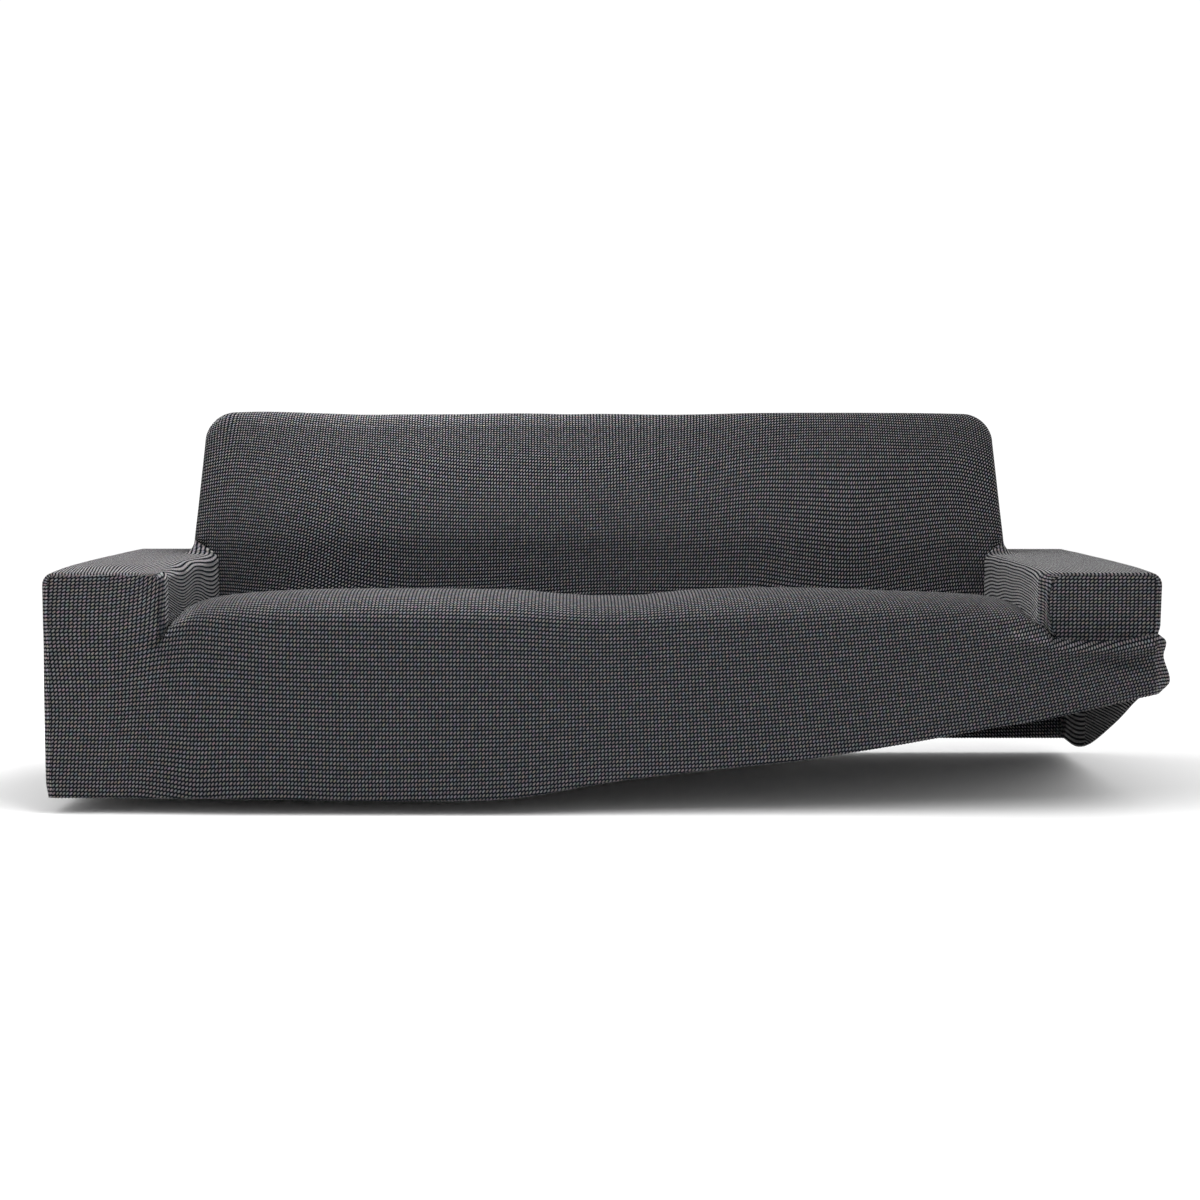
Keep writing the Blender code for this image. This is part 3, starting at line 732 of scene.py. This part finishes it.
def seamShift(end, x, z):
    shift = rightSeam.at("shift", round(z, 5)) if end["side"] > 0 else form["seamInset"]
    return shift * (1.0 - fade("seam", x))


def sweptOut(end, point, depth):
    # an arm's cloth stands out a little beyond the straight side
    distance = abs(point.x)
    swell = between(end["skirtSwell"], end["sideSwell"], fade("armSwell", point.z))
    swell *= fade("swellOut", distance) * (1.0 - fade("swellBack", depth))
    swell -= form["hemTuck"] * (1.0 - fade("hemUp", point.z)) * fade("hemOut", distance)
    return point + Vector((end["side"] * swell, 0.0, 0.0))


def armFrontPoint(end, share, row):
    side, straight, inset = end["side"], seat["armRows"], form["seamInset"] + form["seam"]
    inner, outer = form["armInnerRadius"], form["armOuterRadius"]
    innerFoot = form["armInner"] + seamShift(end, form["armInner"], form["seamFoot"]) + form["seam"]
    place = min(row / straight, 1.0)
    turn = math.radians(90.0 * max(row - straight, 0) / seat["cornerRows"])
    low = Vector((innerBend[0] - inner * math.cos(turn),
            between(skirtPoint(side * round(innerFoot, 5), 1.0)[1], innerBend[1], place)))
    low.y += (inner - inset * form["topInset"]) * math.sin(turn)
    low.x += seamShift(end, low.x, low.y) + form["seam"]
    footX = between(innerFoot, form["halfWidth"] - inset, share)
    out, crease = skirtPoint(side * round(footX, 5), 1.0)
    if row > straight:
        highX = outerBend[0] + (outer - inset) * math.cos(turn)
        height = between(low.y, outerBend[1] + (outer - inset * form["topInset"]) * math.sin(turn), share)
    else:
        highX = form["halfWidth"] - inset
        height = between(crease, form["armTop"] - between(inner, outer, share), place)
    x = side * (footX if row == 0 else between(low.x, highX, share))
    fold = foldOut(x, height) * (1.0 - fade("frontFold", place))
    return sweptOut(end, Vector((x, -out * (1.0 - place) - fold, height)), 0.0)


def armFrontStitch(end, x, z):
    # the left arm's front runs on from the skirt, the right one's rows lie level above its crease
    if end["side"] < 0:
        fan = between(0.0073, 0.0086, fade("fan", z))
        tighter = 61.0 * max(z - 0.28, 0.0) ** 2 * fade("leftTighter", x)
        return frontStitch(max(x, -0.90), z)[0] + min(x + 0.90, 0.0) / fan, frontStitch(x, z)[1] + tighter
    rowPitch = between(0.0079, 0.0073, fade("rightTighter", z))
    return (x - 0.90) / 0.0082, (z - knitStarts["rightFront"]) / rowPitch


def frontPatches():
    seatX = seatColumns()
    steps, rows = seat["armColumns"], seat["armRows"] + seat["cornerRows"] + 1
    crowded = [share ** seat["armCrowding"] for share in shares(steps)]
    footRow = {}
    for end in (leftEnd, rightEnd):
        feet = [armFrontPoint(end, share, 0) for share in crowded]
        footRow[end["side"]] = [round(foot.x - sweptOut(end, foot, 0.0).x + foot.x, 6) for foot in feet]
    notch = [between(seatX[-1], footRow[1][0], share) for share in shares(seat["notchColumns"])[1:-1]]
    across = footRow[-1][:0:-1] + seatX + notch + footRow[1]
    skirtShares = shares(seat["skirtRows"])

    def skirtPlace(i, j):
        out, height = skirtPoint(across[i], skirtShares[j])
        fold = foldOut(across[i], height)
        end = leftEnd if across[i] < 0 else rightEnd
        return sweptOut(end, Vector((across[i], -out - fold, height)), 0.0)

    def skirtStitch(i, j, lowest):
        x, height = across[i], skirtPoint(across[i], skirtShares[j])[1]
        return armFrontStitch(leftEnd, x, height) if x < -0.90 else frontStitch(x, height)

    unrolled = {}
    for i, x in enumerate(seatX):
        length, last = skirtPoint(x, 1.0)[1], seatPoint(x, 0)
        for j in range(seat["roundRows"] + seat["flatRows"] + 1):
            point = seatPoint(x, j)
            if j:
                length += math.hypot(point.y - last.y, point.z - last.z)
            unrolled[i, j] = length
            last = point

    def seatShade(i, j):
        x, point = seatX[i], seatPoint(seatX[i], j)
        # painted shade where the seat tucks in at the arms and at the inside back; on its front face, the
        # front's painted shade and light
        side = fade("seatSide", abs(x)) if j > 2 else 0.0
        edge = seat["tuckedDusk"] * max(side, fade("seatRear", point.y))
        face = frontShade(x, point.z) if point.y < seat["faceDepth"] else 0.0
        return max(edge, face) if edge > 0.0 else face

    def armPatch(end):
        side = end["side"]

        def count(i):
            # columns from the inner seam, which is at the right of the left arm's front
            return i if side > 0 else steps - i

        def place(i, j):
            return armFrontPoint(end, crowded[count(i)], j)

        def shade(i, j):
            # painted shade along the inner seam and the top row, painted light over the left arm's front and
            # painted shade low on the right one's, and the folds' painted shade and light
            point, seam = place(i, j), 0.35 if count(i) == steps or j == rows - 1 else 0.0
            if side > 0 and i == 0 and j:
                seam = 0.75
            broad = dusk["leftArm"] if side < 0 else \
                dusk["rightArm"] * fade("rightFrontLow", point.z) * fade("rightFrontOut", point.x)
            face = broad + foldsAt(*point.xz)[1]
            return max(seam, face) if seam > 0.0 else face

        return steps + 1, rows, place, lambda i, j, lowest: armFrontStitch(end, *place(i, j).xz), shade

    return (
        (len(across), len(skirtShares), skirtPlace, skirtStitch,
            lambda i, j: frontShade(*skirtPlace(i, j).xz)),
        (len(seatX), seat["roundRows"] + seat["flatRows"] + 1, lambda i, j: seatPoint(seatX[i], j),
            lambda i, j, lowest: frontStitch(seatX[i], unrolled[i, j]), seatShade),
        armPatch(leftEnd),
        armPatch(rightEnd),
    )


# ---- arms ----

arms = {
    # the last number of each look is its painted light level: the same knit painted lighter or darker for the
    # light each arm gets
    "leftLook": (15.0, 0.60, 0.38, 0.75, 1.40),
    "rightLook": (15.0, 0.60, 0.38, 0.95, 1.10),
    "footHeight": 0.3463,
    "footRun": 0.030,
    "innerRows": 20,
    "cornerSteps": 6,
    "backSteps": 8,
    "topSteps": 24,
    "runRows": 80,
    "rearRows": 26,
    "edgeSteps": 5,
    "rowPitch": {-1: 0.0064, 1: 0.0077},
    "columnPitch": 0.0071,
    "foldDepth": 0.044,          # where the left arm's inner face folds over to its front
    "innerDusk": {-1: 0.66, 1: 0.24},    # the inner faces turn away from the light
    "edgeDusk": 0.22,
    "footDusk": (0.9, 0.010),    # how dark the foot of the inner face is and how high that reaches
    "foldDusk": (0.35, 0.006),
}

# how far the left arm's rows drift: by the way round the arm from its foot, and by depth
leftDrift = smallTable(
    "around drift",
    (0, -45), (50, -44), (90, -42), (120, -36), (160, -16), (200, 10), (260, 28), (340, 15), (400, 0),
)
leftDriftShare = smallTable(
    "depth share",
    (0, 0), (20, 90), (80, 470), (140, 840), (200, 1000), (250, 880), (300, 700), (340, 630), (400, 740),
    (470, 980), (550, 1070), (620, 880),
)
rightRise = smallTable(
    "depth rise",
    (-20, -22), (0, -14), (40, -2), (80, 8), (130, 14), (180, 17), (270, 16.5), (360, 15), (450, 10),
    (520, 8), (620, 0),
)


def rowPlace(end, around, depth):
    # where a row of stitches that passes here starts at the arm's front
    if end["side"] > 0:
        rise = rightRise.at("rise", round(depth, 5)) + 0.0012 * math.sin(depth * 38.0)
        return around - rise * (1.0 - fade("rightRise", around))
    amount = leftDriftShare.at("share", round(depth, 5))
    low, high = around - 0.05, around + 0.06
    for _ in range(11):
        middle = 0.5 * (low + high)
        if middle + amount * leftDrift.at("drift", round(middle, 4)) < around:
            low = middle
        else:
            high = middle
    return 0.5 * (low + high)


def edgeRows():
    # inset, depth, turn and unrolled place of each row over a rounded edge, from the seam to the side
    radius = form["edgeRadius"]
    quarter = radius * math.pi / 2.0
    rows = [(between(form["seamInset"], radius, share), 0.0, 0.0, radius - quarter - 0.002 * (1.0 - share))
        for share in (0.0, 0.33, 0.67)]
    for share in shares(arms["edgeSteps"]):
        angle = math.radians(90.0 * share)
        rows.append((radius * (1.0 - math.sin(angle)), radius * (1.0 - math.cos(angle)), share,
                radius - quarter * (1.0 - share)))
    return rows


def armTopStations(end):
    radius = form["backEdgeRadius"]
    inner, corner, outer = innerBend[0], end["backLow"] - radius, outerBend[0]
    turns = [math.radians(90.0 * share) for share in shares(arms["backSteps"])]
    roundBack = [corner + radius * math.sin(turn) for turn in turns]
    climb = [end["backLow"] + end["reach"] * (1.0 - math.cos(turn)) for turn in turns[1:]]
    rest = [between(climb[-1], outer, share) for share in shares(arms["topSteps"])[1:]]
    return [inner, between(inner, corner, 0.5), *roundBack, *climb, *rest]


def climbShare(end, distance):
    return min(max((distance - form["armInner"]) / (end["backLow"] - form["armInner"]), 0.0), 1.0)


def climbHeight(end, distance, depth):
    radius = form["backEdgeRadius"]
    across = max(distance - (end["backLow"] - radius), 0.0)
    ahead = max(form["backFace"] - form["seam"] - form["creaseGap"] + radius - depth, 0.0)
    clear = max(math.hypot(across, ahead) - radius, 0.0)
    if clear >= end["reach"]:
        return 0.0
    curve = 1.0 - math.sqrt(1.0 - (1.0 - clear / end["reach"]) ** 2)
    return end["climb"] * climbShare(end, distance) * curve


def armColumns(end):
    inner = arcPoints(*innerBend, form["armInnerRadius"], 180.0, 90.0, arms["cornerSteps"])
    outer = arcPoints(*outerBend, form["armOuterRadius"], 90.0, 0.0, arms["cornerSteps"])
    columns = [("inner", share, Vector((-1.0, 0.0))) for share in shares(arms["innerRows"])]
    columns += [("point", point, normal) for point, normal in inner[1:-1]]
    columns += [("top", station, Vector((0.0, 1.0))) for station in armTopStations(end)]
    # where the count of stitches changes, two columns share one place and are welded later
    columns += [("point", point, normal) for point, normal in outer[1:]]
    for kind, rows in (("outer", seat["armRows"]), ("skirt", seat["skirtRows"])):
        columns += [(kind, share, Vector((1.0, 0.0))) for share in shares(rows)[::-1]]
    return columns


def armPoint(end, column, inset, depth, turn):
    kind, place, normal = column
    side = end["side"]
    atFront = depth < form["edgeRadius"]
    # on the strip before the front seam, how far towards the seam
    strip = 0.0
    if depth == 0.0:
        strip = max(inset - form["edgeRadius"], 0.0) / (form["seamInset"] - form["edgeRadius"])
    if kind == "inner":
        seam = form["armInner"] + seamShift(end, form["armInner"], form["seamFoot"])
        reach = between(form["armInner"] + form["edgeRadius"], seam, strip)
        foot = skirtPoint(side * round(reach, 5), 1.0)[1] + form["seam"]
        foot = between(foot, arms["footHeight"], smoothStep(depth / arms["footRun"]))
        height = between(foot - seatFall(depth), innerBend[1], place)
        inset = between(inset, seamShift(end, form["armInner"], height), strip)
        return Vector((side * (form["armInner"] + inset), depth, height))
    if kind in ("outer", "skirt"):
        around = round(side * (form["halfWidth"] - inset + depth), 5)
        out, height = skirtPoint(around, place if kind == "skirt" else 1.0)
        if kind == "outer":
            out *= 1.0 - place
            height = between(height, outerBend[1], place)
        ahead = out * math.cos(0.5 * math.pi * turn)
        aside = out * math.sin(0.5 * math.pi * turn)
        x = side * (form["halfWidth"] - inset + aside)
        return sweptOut(end, Vector((x, depth - ahead, height)), depth)
    point = Vector((place, form["armTop"])) if kind == "top" else place.copy()
    point.y += climbHeight(end, point.x, depth)
    if kind == "top" and depth > form["backFace"] + form["backEdgeRadius"]:
        if place < end["backLow"] + end["reach"]:
            lean = math.acos(1.0 - max(place - end["backLow"], 0.0) / end["reach"])
            normal = Vector((math.cos(lean), math.sin(lean)))
    share = form["topInset"] if atFront else 1.0
    point -= Vector((normal.x * inset if normal.x > 0.0 else 0.0, normal.y * inset * share))
    if atFront and point.x < form["nearSeam"]:
        rounding = inset * (1.0 - fade("seam", point.x))
        point.x += between(rounding, seamShift(end, point.x, point.y), strip)
    elif normal.x < 0.0:
        point.x -= normal.x * inset
    return sweptOut(end, Vector((side * point.x, depth, point.y)), depth)


def armBackDepth(end, column):
    kind, place, _ = column
    start = form["backFace"] - form["seam"]
    if kind == "inner":
        return start
    distance = place.x if kind == "point" else place
    if kind in ("outer", "skirt"):
        distance = form["halfWidth"]
    radius = form["backEdgeRadius"]
    corner = end["backLow"] - radius
    if distance < corner + form["weld"]:
        return start - form["creaseGap"]
    across = min(distance - corner, radius)
    return start + radius - math.sqrt(radius ** 2 - across ** 2)


def armPatches(end):
    side, columns, front = end["side"], armColumns(end), edgeRows()
    run = shares(arms["runRows"])[1:]
    firstSide = next(
        number for number, column in enumerate(columns)
        if column[0] == "top" and column[1] > end["backLow"] - form["weld"])
    start = form["backFace"] - form["seam"] + form["backEdgeRadius"]
    stop = form["depth"] - form["edgeRadius"]
    depths = [between(start, stop, share) for share in shares(arms["rearRows"])[:-1]]
    rear = [(0.0, depth, depth) for depth in depths]
    rear += [
        (inset, form["depth"] - depth, form["depth"] - unrolled) for inset, depth, _, unrolled in front[::-1]]

    # how far round the arm each column lies, from the foot of its inner face
    around, last = [], None
    for column in columns:
        point = armPoint(end, column, 0.0, 0.40, 1.0)
        around.append((around[-1] + (point - last).length) if around else 0.0)
        last = point

    def frontPart(i, j):
        column = columns[i]
        if j < len(front):
            return armPoint(end, column, *front[j][:3])
        depth = between(form["edgeRadius"], armBackDepth(end, column), run[j - len(front)])
        return armPoint(end, column, 0.0, depth, 1.0)

    def stitchAt(i, unrolled):
        row = rowPlace(end, around[i], unrolled) / arms["rowPitch"][side]
        return side * unrolled / arms["columnPitch"], row

    def frontPartStitch(i, j, lowest):
        point = frontPart(i, j)
        kind, depth, unrolled = columns[i][0], point.y, point.y
        if j < len(front):
            depth, unrolled = front[j][1], front[j][3]
        if kind in ("outer", "skirt"):              # the front's stitches run on round the corner
            x = point.x + side * depth
            if kind == "skirt" and side > 0:
                return frontStitch(x, point.z)
            return armFrontStitch(end, x, point.z)
        if j < 3 and abs(point.x) < form["nearSeam"]:
            unrolled = front[3][3] - max(abs(point.x) - form["armInner"] - form["edgeRadius"], 0.0)
        if kind == "top" and lowest < 3:            # this strip lies on the front
            return armFrontStitch(end, point.x, point.z)
        foldDepth = arms["foldDepth"] * fade("foldFoot", point.z)
        folded = side < 0 and point.x > -form["nearSeam"] and frontPart(i, lowest + 1).y < foldDepth
        if kind in ("inner", "point") and folded:
            return armFrontStitch(end, unrolled - front[0][3] - form["armInner"] - form["seamInset"], point.z)
        return stitchAt(i, unrolled)

    def frontPartShade(i, j):
        # painted shade on the arms' inner faces: all over, at the foot against the seat, along the left arm's
        # fold and at the right arm's seam
        if columns[i][0] != "inner":
            return 0.0
        point, shade = frontPart(i, j), 0.0
        if j > 3:
            dark, reach = arms["footDusk"]
            shade = dark * (1.0 - smoothStep((point.z - arms["footHeight"] + seatFall(point.y)) / reach))
        if side < 0:
            dark, reach = arms["foldDusk"]
            away = (point.y - arms["foldDepth"] * fade("foldFoot", point.z)) / reach
            shade = max(shade, dark * math.exp(-away ** 2))
        elif j <= 3:
            return max(foldsAt(point.x, point.z)[1], 0.6 if j == 0 else 0.0)
        inner = arms["innerDusk"][side] + (arms["edgeDusk"] * fade("edgeDusk", point.z) if j <= 3 else 0.0)
        return inner + (1.0 - inner) * shade

    def rearPart(i, j):
        inset, depth, _ = rear[j]
        return armPoint(end, columns[firstSide + i], inset, depth, 1.0)

    return (
        (len(columns), len(front) + len(run), frontPart, frontPartStitch, frontPartShade),
        (len(columns) - firstSide, len(rear), rearPart,
            lambda i, j, lowest: stitchAt(firstSide + i, rear[j][2])),
    )


# ---- inside and outside back ----

back = {
    # the last number of the look is its painted light level: the same knit painted lighter for the light the
    # back gets
    "look": (50.0, 0.52, 0.27, 0.90, 1.44),
    "seatFoot": 0.286,
    "tuck": 0.004,
    "columns": 200,
    "footRows": 20,
    "cornerSteps": 6,
    "sideSteps": 30,
    "topCornerSteps": 12,
    "edgeSteps": 8,
    "middleRows": 18,
    "creaseSeam": 0.0006,
    "edgeLength": 0.155,         # of the cloth over the back's edge, between its two bends
    "rearPitch": (0.0071, 0.0080),
    "rearSag": (0.012, 2.4, 0.6),
    "armColumns": 22,
    "armCornerRows": 7,
}
rearRows = [0.84 * share for share in shares(26)] + [0.86, 0.88, 0.90, 0.92, 0.94, 0.97, 1.0]


def backOutline(end):
    low = form["armTop"] + end["climb"] + form["seam"]
    high = form["backTop"] - form["backCornerRadius"]
    outline = []
    for share in shares(back["sideSteps"])[:-1]:
        height = between(low, high, share)
        width = between(end["backLow"], end["backHigh"], (height - low) / (high - low))
        outline.append((Vector((width, height)), Vector((1.0, 0.0))))
    return outline + arcPoints(end["backHigh"] - form["backCornerRadius"], high, form["backCornerRadius"],
        0.0, 90.0, back["topCornerSteps"])


def backRing(inset, depthOf, lowEdge):
    # one row round the back from the left end over the top to the right end, with its outward normals
    halves = []
    for end in (leftEnd, rightEnd):
        side, half = end["side"], []
        for number, (point, normal) in enumerate(backOutline(end)):
            place = point - normal * inset
            height = lowEdge(end) if number == 0 else place.y
            half.append((Vector((side * place.x, 0.0, height)), Vector((side * normal.x, normal.y))))
        halves.append(half)
    left, right = halves
    top = [(left[-1][0].lerp(right[-1][0], share), Vector((0.0, 1.0))) for share in shares(back["columns"])]
    ring = left[:-1] + top + right[:-1][::-1]
    for point, _ in ring:
        point.y = depthOf(point.z)
    return ring


def insideBackRows():
    radius, rearEdge = form["backEdgeRadius"], form["depth"] - form["edgeRadius"]
    bend, edge, rows = radius * math.pi / 2.0, back["edgeLength"], []

    def addRow(inset, unrolled, depthOf, lowInset=0.0):
        def lowEdge(end):
            climb = end["climb"] * climbShare(end, end["backLow"] - lowInset)
            return form["armTop"] + climb + back["creaseSeam"]
        rows.append((backRing(inset, depthOf, lowEdge), unrolled))

    for share in shares(back["edgeSteps"]):
        angle = math.radians(90.0 * share)
        inset, curve = radius * (1.0 - math.sin(angle)), radius * (1.0 - math.cos(angle))
        addRow(inset, radius * angle, lambda z: backFaceDepth(z) + curve, inset)
    for share in shares(back["middleRows"])[1:]:
        addRow(0.0, bend + edge * share, lambda z: between(backFaceDepth(z) + radius, rearEdge, share))
    for inset, depth, _, unrolled in edgeRows()[::-1][1:]:
        addRow(inset, bend + edge + form["edgeRadius"] - unrolled, lambda z: form["depth"] - depth)
    return rows


def insideBackPatches():
    rows = insideBackRows()
    sideSteps = len(backOutline(leftEnd)) - 1
    faceRing = [point for point, _ in rows[0][0]]
    columns = back["columns"]
    low = arcPoints(*innerBend, form["armInnerRadius"] - back["tuck"], 180.0, 90.0, back["cornerSteps"])
    foot = [Vector((form["armInner"] + back["tuck"], between(back["seatFoot"], low[0][0].y, share)))
        for share in shares(back["footRows"])]
    below = foot[:-1] + [point for point, _ in low[:-1]]
    faceRows = len(below) + sideSteps + 1

    def faceEdge(end, row):
        if row < len(below):
            return Vector((end["side"] * below[row].x, 0.0, below[row].y))
        number = row - len(below)
        return faceRing[number] if end["side"] < 0 else faceRing[-1 - number]

    def facePlace(i, j):
        share = i / columns
        if j == faceRows - 1:
            return faceRing[sideSteps + i]
        point = faceEdge(leftEnd, j).lerp(faceEdge(rightEnd, j), share)
        point.y = backFaceDepth(point.z)
        if 0 < i < columns:
            upward = min(max((point.z - form["armTop"]) / (form["backTop"] - form["armTop"]), 0.0), 1.0)
            point.y -= form["backCrown"] * math.sqrt(math.sin(math.pi * share)) * math.sin(math.pi * upward)
        return point

    def faceStitch(i, j, lowest):
        point = facePlace(i, j)
        return backStitch(point.x, point.z)

    def borderStitch(i, j, lowest):
        ring, unrolled = rows[j]
        point, normal = rows[0][0][i]
        return backStitch(point.x + normal.x * unrolled, point.z + normal.y * unrolled)

    def faceShade(i, j):
        # painted shade low on the inside back and over its broad middle
        point, (dark, middle, reach) = facePlace(i, j), dusk["backMiddle"]
        return duskAt("back", point.x, point.z) + dark * math.exp(-((point.x - middle) / reach) ** 2)

    return (
        (columns + 1, faceRows, facePlace, faceStitch, faceShade),
        (len(faceRing), len(rows), lambda i, j: rows[j][0][i][0], borderStitch),
    )


def outsideBackPatches():
    inset, depth = form["seamInset"] + form["seam"], form["depth"]
    ring = [point for point, _ in backRing(
            inset, lambda z: depth, lambda end: form["armTop"] + end["climb"] + back["creaseSeam"])]
    sideSteps = len(backOutline(leftEnd)) - 1
    columns, armColumns = back["columns"], back["armColumns"]

    def middleColumn(end):
        # up beside the arm, round the climb and up the side of the back
        foot, climb = end["backLow"] + end["reach"], end["climb"]
        points = [Vector((end["side"] * foot, depth, (form["armTop"] - inset) * row)) for row in rearRows]
        for share in shares(back["edgeSteps"])[1:-1]:
            turn = math.radians(90.0 * share)
            x = end["side"] * (foot - (end["reach"] + inset) * math.sin(turn))
            points.append(Vector((x, depth, form["armTop"] + climb - (climb + inset) * math.cos(turn))))
        return points + (ring if end["side"] < 0 else ring[::-1])[:sideSteps + 1]

    left, right = middleColumn(leftEnd), middleColumn(rightEnd)
    corner = arcPoints(*outerBend, form["armOuterRadius"] - inset, 0.0, 90.0, back["armCornerRows"])
    straight = len(rearRows) - back["armCornerRows"]

    def middlePlace(i, j):
        if j == len(left) - 1:
            return ring[sideSteps + columns - i]
        return right[j].lerp(left[j], i / columns)

    def stitchAt(point):
        sag, wave, start = back["rearSag"]
        columnPitch, rowPitch = back["rearPitch"]
        return -point.x / columnPitch, (point.z + sag * math.sin(point.x * wave + start)) / rowPitch

    def armPatch(end, edge):
        def place(i, j):
            share = i / armColumns if end["side"] < 0 else 1.0 - i / armColumns
            outer = Vector((form["halfWidth"] - inset, outerBend[1] * j / (straight - 1)))
            if j >= straight:
                outer = corner[j - straight + 1][0]
            x, height = between(edge[j].x, end["side"] * outer.x, share), between(edge[j].z, outer.y, share)
            return Vector((x, depth, height))
        return armColumns + 1, len(rearRows), place, lambda i, j, lowest: stitchAt(place(i, j))

    return (
        (columns + 1, len(left), middlePlace, lambda i, j, lowest: stitchAt(middlePlace(i, j))),
        armPatch(leftEnd, left),
        armPatch(rightEnd, right),
    )


# ---- loops of yarn along the hem ----

hemLoops = {
    "pitch": 0.0072,
    "half": Vector((0.0013, 0.0020, 0.0023)),
    "lean": 0.50,
    "rise": 0.0008,
    "yarn": ((0.085, 0.082, 0.088), 0.55, 900.0),    # colour, share of it in the darkest grain, grain scale
}


def hemPath(end):
    # from the middle of the front round one side to the middle of the rear
    side = end["side"]
    points = []
    for share in shares(600):
        around = share * (form["halfWidth"] + form["depth"])
        out, height = skirtPoint(round(side * around, 5), 0.0)
        if abs(around - form["halfWidth"]) < 0.016:
            continue
        if around < form["halfWidth"]:
            point = sweptOut(end, Vector((side * around, -out, height)), 0.0)
        else:
            depth = around - form["halfWidth"]
            point = sweptOut(end, Vector((side * (form["halfWidth"] + out), depth, height)), depth)
        if not points or (point - points[-1]).length > form["weld"]:
            points.append(point)
    rear = [side * form["halfWidth"] * share for share in shares(60)[-2::-1]]
    return points + [Vector((x, form["depth"], 0.0)) for x in rear]


def sewHemLoops():
    loops = bmesh.new()
    for end in (leftEnd, rightEnd):
        left = hemLoops["pitch"] * 0.5
        path = hemPath(end)
        for start, stop in zip(path, path[1:]):
            run = stop - start
            while left < run.length:
                place = start + run * (left / run.length)
                bead = bmesh.ops.create_icosphere(loops, subdivisions=1, radius=1.0)["verts"]
                turn = Vector((run.x, run.y, 0.0)).normalized()
                outward = Vector((turn.y, -turn.x, 0.0)) * end["side"]
                half = hemLoops["half"]
                for vertex in bead:
                    height = vertex.co.z * half.z
                    along = vertex.co.y * half.y + end["side"] * height * hemLoops["lean"]
                    vertex.co = (place + turn * along - outward * (form["cloth"] * 0.5 - vertex.co.x * half.x)
                        + Vector((0.0, 0.0, height + hemLoops["rise"])) - form["hang"])
                left += hemLoops["pitch"]
            left -= run.length
    bmesh.ops.recalc_face_normals(loops, faces=loops.faces)
    print("hem loops", len(loops.faces))
    piece = addPiece("hemLoops", loops, yarnPaint("hemYarn", *hemLoops["yarn"]))
    piece.data.shade_smooth()
    return piece


# ---- build ----

setCamera()
for softbox in ("topSoftbox", "frontSoftbox"):
    setLight(softbox, *studio[softbox])

world = bpy.context.scene.world or bpy.data.worlds.new("studioWorld")
bpy.context.scene.world = world
world.use_nodes = True
sky = world.node_tree.nodes["Background"]
sky.inputs[0].default_value = (1.0, 1.0, 1.0, 1.0)
sky.inputs[1].default_value = studio["world"]
bpy.context.scene.view_settings.view_transform = "Standard"

floorShape = bmesh.new()
bmesh.ops.create_grid(floorShape, x_segments=4, y_segments=4, size=studio["floorReach"])
bmesh.ops.translate(floorShape, verts=floorShape.verts, vec=(0.0, 0.0, studio["floorHeight"]))
floorPaint = Paint("floorPaint", Roughness=0.8, Metallic=0.0)
floorPaint.shader.inputs["Base Color"].default_value = (*studio["floorColor"], 1.0)
floor = addPiece("studioFloor", floorShape, floorPaint.material)
print("studio set")

panels = (
    ("frontAndSeatCloth", frontPatches(), False, seat["look"], "front_and_seat_panel", (2.05, 0.95), 1.62),
    ("leftArmCloth", armPatches(leftEnd), True, arms["leftLook"], "left_arm_panel", (0.80, 0.82), 0.62),
    ("rightArmCloth", armPatches(rightEnd), False, arms["rightLook"], "right_arm_panel", (0.70, 0.82), 0.50),
    ("insideBackCloth", insideBackPatches(), False, back["look"], "inside_back_panel", (1.80, 0.68), 1.18),
    ("outsideBackCloth", outsideBackPatches(), False, back["look"], "outside_back_panel", (1.95, 0.72), 1.30),
)
hem = sewHemLoops()
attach(hem, "root")
for name, patches, mirrored, look, node, flat, area in panels:
    piece = sewCloth(name, patches, mirrored, look)
    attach(piece, "root")
    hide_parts(node)
    node + "_knit"
    [hem] if name == "frontAndSeatCloth" else []
print("cloth laid")
